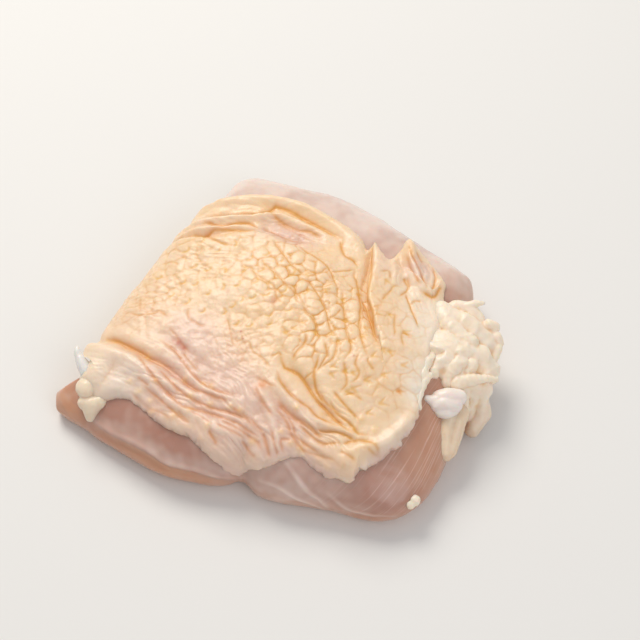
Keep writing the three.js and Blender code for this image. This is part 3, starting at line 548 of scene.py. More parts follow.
MUSCLE_SIDES = 720
CROWN_RINGS, SHOULDER_RINGS, UNDER_RINGS = 26, 44, 12
FIBRE_FAN = (92, 22)  # where the fibres of the broad end run together, in mm
FIBRE_REACH = 75  # distance from there at which one millimetre across is one millimetre

# Ledge along the near side where the muscle was cut, and the edges of the clear film on it.
MUSCLE_LEDGE = [
    (-70, -36.5), (-64.5, -42), (-57, -46.5), (-51, -50), (-46.5, -53.5), (-43, -57), (-36, -59.5),
    (-30.5, -61.5), (-24, -64.5), (-18.5, -67),
]
FILM_EDGES = [
    [(-8, -66), (-1, -68.5), (6, -74), (11.5, -77), (19, -83.5)],
    [(1, -58.5), (4.5, -63.5), (9.5, -70), (14.5, -74), (19, -80.5)],
    [(17, -70.5), (25.5, -78), (34, -80), (43.5, -80.5)],
]
MEAT_WAVES = [(0.4, 12, 1), (0.16, 4.5, 2), (0.05, 1.8, 5)]  # height, length, seed
FIBROUS_ZONE = (52, -55, 34)  # the broad end, where the fibres show: x, y, radius
# Where the meat is painted whiter: for its clear film where that is thick, and as painted highlight on the
# far side that faces the light; less white if its share is below nought. And where light shines warm
# through the meat, as a painted glow: x, y, radius, share.
FILM_AND_HIGHLIGHT_ZONES = [
    (-22, 84, 30, 0.95), (66, 27, 12, 0.55), (25, 66, 30, 0.5), (-58, -44, 26, -0.2), (5, -66, 18, 0.18),
    (46, 46, 26, 0.45),
]
# The whitest corner of the far side: partly thick film, partly painted highlight
WHITEST_FILM_AND_HIGHLIGHT = (-6, 78, 9, 0.6)
WARM_ZONES = [(76, 18, 14, 0.7), (62, -48, 26, 0.6), (-84, -27, 12, 0.8)]


def muscle_grid():
    """Places of the muscle's rings, out from the middle and down to the underside."""
    angle = np.arange(MUSCLE_SIDES) / MUSCLE_SIDES * 2 * math.pi
    arc, inner = shoulder_arc(angle)
    on_crown = 1 - (1 - np.arange(1, CROWN_RINGS + 1) / CROWN_RINGS) ** 1.7
    on_shoulder = np.arange(1, SHOULDER_RINGS + 1) / SHOULDER_RINGS
    on_under = 1 + np.arange(1, UNDER_RINGS + 1) / UNDER_RINGS
    past_crown = np.concatenate([on_shoulder, on_under])
    reach = np.concatenate([on_crown[:, None] * inner, inner + past_crown[:, None] * arc])
    return (reach * np.cos(angle)).ravel(), (reach * np.sin(angle)).ravel()


def muscle_relief(x, y):
    """Height that the muscle's surface has over its smooth form, and what its colour follows."""
    across = np.arctan2(y - FIBRE_FAN[1], x - FIBRE_FAN[0]) % (2 * math.pi) * FIBRE_REACH
    along = np.hypot(x - FIBRE_FAN[0], y - FIBRE_FAN[1])
    places = flat_points(x, y)
    height = waves(places, MEAT_WAVES)
    fibrous = zone(x, y, *FIBROUS_ZONE, 4)
    strands = np.abs(noise(flat_points(across / 1.7, along / 26), 1, 3))
    height += 0.1 * strands * fibrous
    patchy = 0.5 + 0.7 * noise(places, 9, 4) + 0.5 * noise(places, 3.6, 6)
    film = 0.35 * clamp01(patchy) * (1 - 0.7 * fibrous)
    film += patches(x, y, FILM_AND_HIGHLIGHT_ZONES, 4) + patches(x, y, [WHITEST_FILM_AND_HIGHLIGHT])
    warm = patches(x, y, WARM_ZONES, 4)
    near, distance, share, side, _ = along_route(x, y, MUSCLE_LEDGE, 24, 12)
    ends = tapered(share, 0.03)
    below = np.where(side < 0, distance, -distance)
    height[near] += ends * (0.9 * ridge(below, 1.3) - 0.7 * ridge(below - 3.2, 2.2))
    # Painted highlight along the ledge's crest and on the face just above it; the whitish film fades out
    # below
    film[near] += ends * (0.3 * ridge(below + 0.2, 0.9) + 0.35 * ridge(below + 2.5, 2.5))
    film[near] *= 1 - 0.9 * ends * smooth_step(0.6, 2, below)
    # The side below the ledge is painted warmer and browner as shade
    warm[near] += 0.85 * ends * smooth_step(0.4, 2.5, below)
    for route in FILM_EDGES:
        near, distance, share, _, _ = along_route(x, y, route, 16, 4)
        height[near] += 0.45 * tapered(share, 0.03) * ridge(distance, 0.9)
        film[near] += 0.45 * tapered(share, 0.03) * ridge(distance, 0.8)
    looks = {"film": clamp01(film), "warm": clamp01(warm), "fibrous": fibrous}
    return height, np.stack([across, along, np.zeros_like(x)], axis=1), looks


def make_muscle(material):
    x, y = muscle_grid()
    x, y = np.concatenate([[1e-6], x]), np.concatenate([[0], y])
    height, grain, looks = muscle_relief(x, y)
    form = surface_point(x, y)
    upright = smooth_step(0.4, 4, form[:, 2])  # the relief fades out towards the flat underside
    points = form + surface_normal(x, y) * (height * upright)[:, None]
    points[:, 2] = np.maximum(points[:, 2], 0)
    rings = CROWN_RINGS + SHOULDER_RINGS + UNDER_RINGS
    side = np.arange(MUSCLE_SIDES)
    after = (side + 1) % MUSCLE_SIDES
    faces = [(0, 1 + s, 1 + t) for s, t in zip(side, after)]
    for ring in range(rings - 1):
        a, b = 1 + ring * MUSCLE_SIDES, 1 + (ring + 1) * MUSCLE_SIDES
        faces += np.stack([a + side, b + side, b + after, a + after], axis=1).tolist()
    last = 1 + (rings - 1) * MUSCLE_SIDES
    points[last:, 2] = 0
    bottom = len(points)
    points = np.vstack([points, [0, 0, 0]])
    faces += [(bottom, last + t, last + s) for s, t in zip(side, after)]
    piece = make_piece("breast_muscle_meat", points, faces, material)
    looks = {name: np.pad(rows, (0, 1)) for name, rows in looks.items()}
    store(piece, grain=np.pad(grain, [(0, 1), (0, 0)]), **looks)
    dress(piece, "breast_muscle")


# Skin

SKIN_COLUMNS, SKIN_ROWS = 384, 328
SKIN_COARSE = 8  # the hidden inner face has a point for every eighth of the outer one
SKIN_SINK = 0.15  # how deep the inner face sits in the muscle, so that no gap shows
CELL_FIELDS = [
    # size, stretch, heading, seed, depth, and the regions that it fills as x, y, radius and share
    (6.2, 1.0, 84, 7, 0.24, [(23, -3, 17, 1.0), (9, -14, 12, 0.8)]),
    (5.4, 1.15, -48, 11, 0.24, [(-1, 20, 16, 0.9), (-22, 24, 14, 0.4), (8, 8, 12, 0.8),
        (-10, -4, 12, 0.4)]),
    (7.4, 1.1, 10, 15, 0.2, [(38, -31, 15, 0.6), (42, -6, 12, 0.5)]),
    (5.2, 1.5, -40, 23, 0.15, [(-37, 26, 15, 0.9), (-14, -14, 12, 0.8), (-54, 2, 11, 0.6)]),
    (3.6, 1.3, -35, 19, 0.11, [(-24, 14, 24, 0.35), (-50, 10, 15, 1.0), (-12, -14, 14, 0.8),
        (20, 0, 22, 0.5), (38, -30, 14, 0.5)]),
]
WRINKLE_FIELDS = [
    # x, y, radius, heading, distance across, length, height, seed
    (-44, -34, 20, -36, 1.9, 9, 0.26, 31),
    (-10, -46, 19, -50, 1.9, 9, 0.36, 32),
    (14, -50, 14, -40, 2.0, 9, 0.4, 33),
    (-8, 44, 30, -14, 1.8, 14, 0.22, 34),
    (48, 14, 14, -72, 2.2, 10, 0.25, 35),
    (-26, -20, 18, -30, 2.4, 5, 0.16, 36),
    (-52, 12, 16, -30, 2.2, 5, 0.28, 37),
    (-66, -20, 11, -20, 2.0, 9, 0.1, 38),
    (-30, 27, 13, -25, 2.2, 8, 0.25, 39),
]
# Where the thin skin shows the meat, and where it is whitish, near the fat partly as painted highlight: x, y,
# radius, share.
PINK_ZONES = [
    (-30, -26, 19, 0.8), (-14, -45, 17, 0.9), (-52, -34, 14, 0.6), (4, -52, 13, 0.6), (-5, 38, 6, 0.7),
    (3, 34.5, 6, 0.7), (10, 31, 6, 0.4), (-50, -4, 15, 0.25), (-30, -2, 12, 0.15), (-60, -22, 10, 0.25),
    (-34, -8, 9, 0.3), (51, 19, 6, 0.9), (-28, 40, 5, 0.25), (38, 20, 5, 0.3),
]
PALE_AND_HIGHLIT_ZONES = [
    (54, -8, 11, 0.75), (50, 10, 10, 0.4), (49, -28, 8, 0.7), (48.5, -37, 5.5, 0.8), (43, -47, 5, 0.45),
    (37, -53.5, 5, 0.5), (-66, -22, 12, 0.4), (-55, -30, 9, 0.4),
]
# Where it is sheer and where its border is torn, the same way. Where the border is curdled and where it is
# white, as x, y and radius.
SHEER_ZONES = [(-19, -63, 7, 0.85), (17, -62, 6, 0.5)]
TORN_ZONES = [(38, -52, 26, 0.8), (-20, -55, 34, 0.5)]
CURDY_ZONE = (44, -44, 20)
WHITE_EDGE_ZONE = (40, -48, 26)
SKIN_WAVES = [(0.38, 6, 63), (0.13, 2.4, 64), (0.06, 1.1, 65)]  # height, length, seed
TEAR_WAVES = ((6, 0.7, 50), (2.2, 0.55, 53), (1.1, 0.3, 56))  # length, reach, seed
TEAR_WIDTH = 2.2  # how far in from the border the tearing reaches
PIT_SPREAD = 32  # degrees between the middle of a pit and each of its arms
BORDER_ROUND = 1.0  # width of the border's rounding
HOLLOW_DEPTH, VALLEY_DEPTH = 0.35, 1.6  # hollows and valleys this deep have their full painted shade
HOLLOW_PASSES, VALLEY_PASSES = 10, 90  # how often the face is evened out to find them


def smoothed(field, passes):
    """The field of a grid, evened out with its neighbours some times over."""
    for _ in range(passes):
        wide = np.pad(field, 1, mode="edge")
        field = (wide[1:-1, :-2] + 2 * wide[1:-1, 1:-1] + wide[1:-1, 2:]) / 4
        wide = np.pad(field, 1, mode="edge")
        field = (wide[:-2, 1:-1] + 2 * wide[1:-1, 1:-1] + wide[2:, 1:-1]) / 4
    return field


def skin_places():
    """The skin's places between its four borders, and their distance from the nearest one."""
    near = even_steps(SKIN_NEAR_BORDER, SKIN_COLUMNS)
    far = even_steps(SKIN_FAR_BORDER, SKIN_COLUMNS)
    end = even_steps(SKIN_END_BORDER, SKIN_ROWS)
    degrees, past = np.array(SKIN_SIDE_BORDER).T
    angle = np.radians(degrees)
    arc, inner = shoulder_arc(angle)
    reach = inner + arc + past
    side = even_steps(np.stack([reach * np.cos(angle), reach * np.sin(angle)], axis=1), SKIN_ROWS)
    u = (np.arange(SKIN_COLUMNS + 1) / SKIN_COLUMNS)[None, :, None]
    v = (np.arange(SKIN_ROWS + 1) / SKIN_ROWS)[:, None, None]
    across = mix(side[:, None], end[:, None], u)
    along = mix(near[None], far[None], v)
    corners = mix(mix(near[0], near[-1], u), mix(far[0], far[-1], u), v)
    places = across + along - corners
    wide = np.linalg.norm(places[:, -1] - places[:, 0], axis=1)[:, None]
    deep = np.linalg.norm(places[-1] - places[0], axis=1)[None]
    u, v = u[..., 0], v[..., 0]
    inside = np.minimum(np.minimum(u, 1 - u) * wide, np.minimum(v, 1 - v) * deep)
    return places, inside


def ragged(places, inside):
    """The same places with the border torn unevenly, most on the near side and at the fatty end."""
    x, y = places[..., 0].ravel(), places[..., 1].ravel()
    torn = 0.55 + patches(x, y, TORN_ZONES, 4)
    shift = np.zeros((len(x), 2))
    for size, reach, seed in TEAR_WAVES:
        for axis in (0, 1):
            shift[:, axis] += reach * noise(flat_points(x, y), size, seed + axis)
    fade = ridge(inside.ravel(), TEAR_WIDTH)
    return places + (shift * (torn * fade)[:, None]).reshape(places.shape)


def skin_folds(x, y):
    """What the folds add to the skin's height, and how far their crests lean."""
    height, shift = np.zeros_like(x), np.zeros((len(x), 2))
    for high, left, right, lean, route in FOLDS.values():
        near, distance, share, side, across = along_route(x, y, route, FOLD_STEPS, 3.2 * max(left, right))
        width = np.where(side > 0, left, right)
        profile = tapered(share, 0.04) * ridge(distance, width)
        height[near] += high * profile
        shift[near] += (lean * profile)[:, None] * across
    return height, shift


def skin_cells(x, y):
    """Depth of the net of creases between the skin's soft cells, the swell of the cells, and how strongly the
    net is painted with shade.
    """
    places = flat_points(x, y)
    fine = 0.35 * noise(places, 2.6, 62)
    bent_x, bent_y = x + 1.3 * noise(places, 9, 60) + fine, y + 1.3 * noise(places, 9, 61) - fine
    net, swell, net_shade = np.zeros_like(x), np.zeros_like(x), np.zeros_like(x)
    for size, stretch, heading, seed, depth, regions in CELL_FIELDS:
        share = patches(x, y, regions, 3)
        first, second, third = cell_middles(bent_x, bent_y, size, stretch, heading, seed)
        edge, corner = second - first, third - first
        broken = smooth_step(-0.35, 0.35, noise(places, 4, seed))
        line = ridge(edge, 0.8, 1.5) * (0.4 + 0.6 * broken) + 0.4 * ridge(corner, 1.2)
        net += depth * share * line
        swell += 1.6 * depth * share * (1 - ridge(edge, 4, 1.6))
        net_shade = np.maximum(net_shade, min(1, 3.4 * depth) * share * line)
    return net, swell, net_shade


def feather_pits(x, y):
    """Depth of the V-shaped pits."""
    depth = np.zeros_like(x)
    for cx, cy, heading, length in FEATHER_PITS:
        for spread in (-PIT_SPREAD, PIT_SPREAD):
            turn = math.radians(heading + spread)
            tip = (cx + length * math.cos(turn), cy + length * math.sin(turn))
            near, distance, share, _, _ = along_route(x, y, [(cx, cy), tip], 2, 2.5)
            pit = (1 - 0.75 * share) * ridge(distance, mix(0.75, 0.3, share))
            depth[near] = np.maximum(depth[near], pit)
    return depth


def feather_marks(x, y):
    """Small bumps and the furrow round one side of each."""
    bump, furrow = np.zeros_like(x), np.zeros_like(x)
    turns = np.random.default_rng(70).uniform(-75, 15, len(FEATHER_MARKS))
    for (cx, cy), degrees in zip(FEATHER_MARKS, turns):
        turn = math.radians(degrees)
        dx, dy = x - cx, y - cy
        distance = np.hypot(dx, dy) + 1e-6
        facing = clamp01(0.25 + (dx * math.cos(turn) + dy * math.sin(turn)) / distance)
        bump += ridge(distance, 0.95)
        furrow += facing * ridge(distance - 1.35, 0.42)
    return bump, furrow


def skin_creases(x, y):
    """Depth of the listed creases, and how strongly their lines are painted with shade."""
    deep, dark = np.zeros_like(x), np.zeros_like(x)
    wobble = 0.22 * noise(flat_points(x, y), 2.8, 67)
    for depth, width, route in CREASES:
        near, distance, share, _, _ = along_route(x + wobble, y - wobble, route, 14, 6 * width)
        ends = clamp01(0.3 + 5 * share) * clamp01(0.3 + 5 * (1 - share))
        line = ridge(distance, 1.15 * width, 1.5)
        crease = 0.56 * depth * ends * (0.8 * line + 0.2 * ridge(distance, 2.6 * width))
        deep[near] = np.maximum(deep[near], crease)
        dark[near] = np.maximum(dark[near], min(1, 0.5 + 0.42 * depth) * ends * line)
    return deep, dark


def skin_wrinkles(x, y):
    """Height of the fields of small wrinkles."""
    height = np.zeros_like(x)
    for cx, cy, radius, heading, across, along, amount, seed in WRINKLE_FIELDS:
        rows = wrinkles(x, y, heading, across, along, seed)
        height += amount * zone(x, y, cx, cy, radius, 3) * (rows - 0.45)
    return height


def skin_relief(x, y, inside):
    """Height of the skin's face over the muscle, the lean of its folds, and what its colour follows."""
    full = 1 - np.maximum(0, 1 - inside / SKIN_EDGE_WIDTH) ** 2
    folds, shift = skin_folds(x, y)
    high, long, wide = SKIN_UNEVEN
    swells = np.sin(x / long + 1.3 * np.sin(y / wide)) + np.sin(y / wide - x / (1.7 * long))
    thickness = mix(SKIN_EDGE, SKIN_THICKNESS, full) + high * swells * full
    height = np.maximum(SKIN_THINNEST, thickness + folds * mix(0.2, 1, full))

    creased, crease_shade = skin_creases(x, y)
    net, swell, net_shade = skin_cells(x, y)
    crease_shade = np.maximum(crease_shade, net_shade)
    pits = feather_pits(x, y)
    bump, furrow = feather_marks(x, y)
    grains = sum(zone(x, y, cx, cy, GRAIN_RADIUS) for cx, cy in YELLOW_GRAINS)
    places = flat_points(x, y)
    fine = waves(places, SKIN_WAVES) + swell + skin_wrinkles(x, y) + 0.16 * bump + 0.5 * grains
    fine -= np.maximum(creased, net) + 0.35 * np.minimum(creased, net) + 0.3 * pits + 0.17 * furrow
    curdy = ridge(inside, 5) * zone(x, y, *CURDY_ZONE, 4)
    fine += 0.8 * curdy * noise(places, 2.4, 68)
    height = np.maximum(SKIN_FACE_LOWEST, height + fine * mix(0.35, 1, np.maximum(full, curdy)))

    filmy = ridge(inside, 3.2) * smooth_step(-26, -38, y) * clamp01(0.65 + 0.8 * noise(places, 6, 66))
    torn_edge = ridge(inside, 1.5) * (0.25 + 0.7 * zone(x, y, *WHITE_EDGE_ZONE, 4))
    looks = {
        # crease: painted shade along the creases and the net of cells, and the pits' own yellow
        "crease": clamp01(crease_shade + 0.35 * pits),
        "yolk": clamp01(1.2 * furrow + 0.6 * grains + 0.9 * pits),
        "sheer": clamp01(filmy + patches(x, y, SHEER_ZONES)),
        "pink": clamp01(patches(x, y, PINK_ZONES, 3)),
        "pale": clamp01(patches(x, y, PALE_AND_HIGHLIT_ZONES, 3) + torn_edge),
        "orange": clamp01(patches(x, y, ORANGE_SPOTS)),
        "blood": clamp01(patches(x, y, RED_SPOTS)),
    }
    return height, shift, looks


def border_loop(columns, rows):
    """Indexes of a grid's border points, once round, as seen from outside."""
    across = columns + 1
    near = [i for i in range(columns)]
    end = [columns + j * across for j in range(rows)]
    far = [rows * across + i for i in range(columns, 0, -1)]
    side = [j * across for j in range(rows, 0, -1)]
    return near + end + far + side


def make_skin(material):
    places, inside = skin_places()
    shape = inside.shape
    torn = ragged(places, inside)
    x, y = torn[..., 0].ravel(), torn[..., 1].ravel()
    inside = inside.ravel()
    height, shift, looks = skin_relief(x, y, inside)
    lip = np.sqrt(1 - (1 - clamp01(inside / BORDER_ROUND)) ** 2)
    height = CLEARANCE + mix(-CLEARANCE - SKIN_SINK, height, 0.25 + 0.75 * lip)
    # Painted shade: the skin's colour darkens in its small hollows and broad valleys, found by evening its
    # face out.
    hollow_shade = smoothed(height.reshape(shape), HOLLOW_PASSES) - height.reshape(shape)
    broad = smoothed(height.reshape(shape), VALLEY_PASSES) - height.reshape(shape)
    looks["hollow_shade"] = clamp01(hollow_shade.ravel() / HOLLOW_DEPTH)
    looks["valley_shade"] = clamp01(0.5 + broad.ravel() / VALLEY_DEPTH)
    normal = surface_normal(x, y)
    outer = surface_point(x + shift[:, 0], y + shift[:, 1]) + normal * height[:, None]
    coarse = (slice(None, None, SKIN_COARSE), slice(None, None, SKIN_COARSE))
    cx, cy = torn[coarse][..., 0].ravel(), torn[coarse][..., 1].ravel()
    inner = surface_point(cx, cy) - SKIN_SINK * surface_normal(cx, cy)
    columns, rows = SKIN_COLUMNS // SKIN_COARSE, SKIN_ROWS // SKIN_COARSE
    faces = grid_quads(SKIN_COLUMNS, SKIN_ROWS).tolist()
    faces += grid_quads(columns, rows, len(outer))[:, ::-1].tolist()
    fine_loop = border_loop(SKIN_COLUMNS, SKIN_ROWS)
    coarse_loop = [len(outer) + k for k in border_loop(columns, rows)]
    for k, start in enumerate(coarse_loop):
        after = coarse_loop[(k + 1) % len(coarse_loop)]
        first = k * SKIN_COARSE
        for step in range(SKIN_COARSE):
            a = fine_loop[first + step]
            b = fine_loop[(first + step + 1) % len(fine_loop)]
            faces.append((start if step < SKIN_COARSE // 2 else after, b, a))
            if step == SKIN_COARSE // 2 - 1:
                faces.append((start, after, b))
    piece = make_piece("skin_sheet", np.vstack([outer, inner]), faces, material)
    store(piece, **{name: np.pad(values, (0, len(inner))) for name, values in looks.items()})
    dress(piece, "skin")


# Fat, lobes and gristle

# Soft lumps of fat: radius where each starts and ends, and its route as x, y, z.
END_FAT_LUMPS = [
    # body
    (6.6, 6.2, [(61, -1, 21.2), (68, -4, 20.4), (74.5, -8, 17)]),
    (6.6, 6.4, [(59, -12, 21.2), (67, -15, 19.8), (74, -18, 15)]),
    (5.6, 5.4, [(58.5, -21, 20.6), (66, -24, 18), (72, -25, 13)]),
    (3.2, 3.2, [(57, -4, 22), (56, -13, 23.4)]),
    (6.0, 5.5, [(68, -6, 10), (73, -18, 9)]),
    # far lobe and the tag on it
    (4.2, 3.2, [(59, 2.4, 23.4), (61, -3, 24.4), (64.5, -8, 24), (69, -11.5, 23)]),
    (2.6, 2.2, [(64, 4.4, 23.8), (69, 3.4, 24), (73, 0, 22.6)]),
    (1.4, 0.6, [(69, 4, 25.4), (72, 4.6, 26), (75, 5, 25.6)]),
    (2.4, 2.0, [(67, -2, 25), (71, -5, 24)]),
    # small knobs at the right
    (1.9, 1.7, [(76.5, -2.8, 23), (79, -3, 21.5)]),
    (1.8, 1.6, [(79.5, -6.8, 20.6), (80.6, -8.6, 18.8)]),
    (1.9, 1.4, [(79.5, -11, 18.6), (78.8, -14, 17.6)]),
    (1.9, 1.9, [(75.5, -4.6, 20), (77.8, -5, 20.6)]),
    # middle ridge, right face and the pointed tag
    (2.2, 2.8, [(54, -15.4, 25.6), (59.5, -16, 26), (65, -17, 24.6)]),
    (4.4, 3.6, [(72.5, -15, 19.6), (74.6, -21, 17)]),
    (2.6, 0.9, [(63.5, -27.6, 21.4), (69, -26.6, 22), (74, -25.4, 20.6), (78.5, -24, 18)]),
    # fronds
    (3.2, 1.6, [(60.5, -18.5, 24.4), (57, -21.5, 24.4), (54.6, -25.5, 23.8)]),
    (3.2, 1.7, [(64.5, -20.5, 23.6), (61.5, -24, 23), (59.4, -28, 20.8)]),
    (2.6, 1.4, [(69, -21, 22.6), (66, -25, 21.4)]),
    (1.8, 0.9, [(53.5, -19.5, 26.2), (51.8, -25.5, 26.8), (50, -29.5, 26.6)]),
    (2.4, 1.6, [(66.5, -27.5, 18.6), (66, -30.5, 14.5), (67, -33, 11.6)]),
    (2.2, 1.5, [(70.5, -27, 17.8), (70.5, -30, 12.6)]),
    (2.2, 1.4, [(74, -26, 16.4), (73, -30, 12)]),
    # frill along the skin
    (1.5, 1.1, [(52.6, -27.5, 25.6), (51, -30.5, 25.8), (50.2, -33.5, 25.8)]),
    (1.1, 0.8, [(50.2, -33.5, 25.6), (49.2, -38, 25.6), (49.4, -40.6, 25)]),
    # lobe behind
    (3.6, 2.8, [(72.5, -27, 10.5), (73.6, -32.5, 8), (71.6, -35, 7), (69.8, -38, 6)]),
    (2.6, 2.0, [(69.5, -29, 11), (68.5, -34, 8)]),
]
PALE_LOBE_LUMPS = [
    (3.0, 3.0, [(57, -34.4, 21.5), (60.2, -33.8, 22), (63.6, -33.6, 21)]),
    (3.0, 3.0, [(56.3, -36.5, 21), (59.1, -37, 21.4), (62.4, -36.2, 20.4)]),
    (2.6, 2.4, [(57.6, -38.6, 19.8), (59.4, -39.2, 19.8), (61.4, -38.2, 19.4)]),
    (2.8, 1.2, [(56, -35.4, 21.4), (54, -35.4, 22), (52.4, -35, 22.8)]),
]
LONG_LOBE_LUMPS = [
    (3.2, 2.9, [(60.6, -38.6, 17), (59.4, -43.5, 15), (58.8, -48, 13), (58.9, -51.2, 11.4)]),
    (3.2, 2.6, [(64.6, -37.3, 16), (63.4, -41.8, 15), (61.8, -46.5, 13), (60.4, -50.4, 11.4)]),
]
KNOB_LUMPS = [
    (3.5, 3.7, [(-72.4, -26.2, 16.2), (-72, -27.2, 16.4)]),
    (2.8, 2.6, [(-72.2, -31.4, 13.8), (-69.5, -32, 14.2), (-67, -31.6, 14.6)]),
    (3.8, 1.9, [(-69.7, -32.2, 13.4), (-70, -34, 12.4), (-70.2, -35.6, 11.4)]),
]
HORN_LUMPS = [
    (0.9, 1.8, [(-76.4, -11.8, 20.4), (-76, -13.6, 19.8), (-75, -15.8, 19)]),
    (1.8, 2.8, [(-75, -15.8, 19), (-73.6, -18.2, 18), (-72, -20.4, 17)]),
]

LUMP_STEPS = 8  # balls along each lump's route
CLEFT_DEPTH = 0.6  # hollows this deep have the full painted shade of the clefts
CLEFT_PASSES = 20  # how often the fat is evened out to find them


def with_lumps(shape, lumps):
    """Adds rows of balls along the routes to a mesh, for the remesh to join."""
    work = bmesh.new()
    work.from_mesh(shape)
    for first, last, route in lumps:
        for k, place in enumerate(even_steps(route, LUMP_STEPS)):
            where = Matrix.Translation((place + MIDDLE) * MM)
            radius = mix(first, last, k / LUMP_STEPS) * MM
            bmesh.ops.create_icosphere(work, subdivisions=2, radius=radius, matrix=where)
    work.to_mesh(shape)
    work.free()


def remeshed(node, lumps, voxel_mm, even_out):
    """The points, normals and faces of a piece built of its lumps, or of its solid if it has none."""
    shape = bpy.data.meshes.new(node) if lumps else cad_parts[node].data.copy()
    with_lumps(shape, lumps)
    work = bpy.data.objects.new(node + "_work", shape)
    bpy.context.scene.collection.objects.link(work)
    remesh = work.modifiers.new("even faces", "REMESH")
    remesh.mode = "VOXEL"
    remesh.voxel_size = voxel_mm * MM
    soften = work.modifiers.new("soften", "SMOOTH")
    soften.factor = 0.5
    soften.iterations = even_out
    done = work.evaluated_get(bpy.context.evaluated_depsgraph_get()).to_mesh()
    points = np.zeros(len(done.vertices) * 3)
    normals = np.zeros(len(done.vertices) * 3)
    edges = np.zeros(len(done.edges) * 2, int)
    done.vertices.foreach_get("co", points)
    done.vertices.foreach_get("normal", normals)
    done.edges.foreach_get("vertices", edges)
    faces = [tuple(polygon.vertices) for polygon in done.polygons]
    bpy.data.objects.remove(work)
    return points.reshape(-1, 3) / MM - MIDDLE, normals.reshape(-1, 3), edges.reshape(-1, 2), faces


def hollowness(points, normals, edges, passes):
    """How far each point lies below the evened-out surface, in mm."""
    count = np.bincount(edges.ravel(), minlength=len(points))
    even = points
    for _ in range(passes):
        total = [np.bincount(edges.ravel(), even[edges[:, ::-1].ravel(), k], len(points)) for k in range(3)]
        even = np.stack(total, axis=1) / count[:, None]
    return np.sum((even - points) * normals, axis=1)


def frills(points, size, seed):
    """Soft hollows with thin crests between them, from 0 in a hollow to 1 on a crest."""
    bend = np.stack([noise(points, size * 1.6, seed + k) for k in (1, 2, 3)], axis=1)
    return clamp01(1 - 1.6 * np.abs(noise(points + 0.6 * size * bend, size, seed))) ** 1.5


def make_fat(name, node, material, lumps, voxel, even_out, proud, frilled, seed, torn_at=None):
    """A piece of fat or gristle, with frills given as rows of size and height in mm. They are at their
    fullest near the place given as x, y and radius, where the fat was torn."""
    points, normals, edges, faces = remeshed(node, lumps, voxel, even_out)
    height = proud + 0.3 * noise(points, 4, seed + 50)
    full = 1 if torn_at is None else 0.35 + 0.65 * zone(points[:, 0], points[:, 1], *torn_at, 3)
    for k, (size, amount) in enumerate(frilled):
        height += amount * full * (frills(points, size, seed + 10 * k) - 0.4)
    lifted = points + normals * height[:, None]
    lifted[:, 2] = np.maximum(lifted[:, 2], 0.02)
    piece = make_piece(name, lifted, faces, material)
    # cleft: painted shade in the hollows between the lumps
    store(piece, cleft=clamp01(hollowness(lifted, normals, edges, CLEFT_PASSES) / CLEFT_DEPTH))
    dress(piece, node)


# Materials

def add_node(tree, kind, inputs=None, **settings):
    """Adds a node with its settings. Inputs are values, or outputs of other nodes to link."""
    node = tree.nodes.new(kind)
    for name, value in settings.items():
        setattr(node, name, value)
    for socket, value in (inputs or {}).items():
        if isinstance(value, bpy.types.NodeSocket):
            tree.links.new(value, node.inputs[socket])
        else:
            node.inputs[socket].default_value = value
    return node


def new_material(name):
    material = bpy.data.materials.new(name)
    material.use_nodes = True
    material.node_tree.nodes.clear()
    return material, material.node_tree


def lumps_per_metre(size_mm):
    """Scale of a noise texture in metres whose lumps have a size in mm."""
    return 1 / (size_mm * MM)


MIX_A, MIX_B, MIX_OUT = 6, 7, 2  # the colour sockets of a mix node


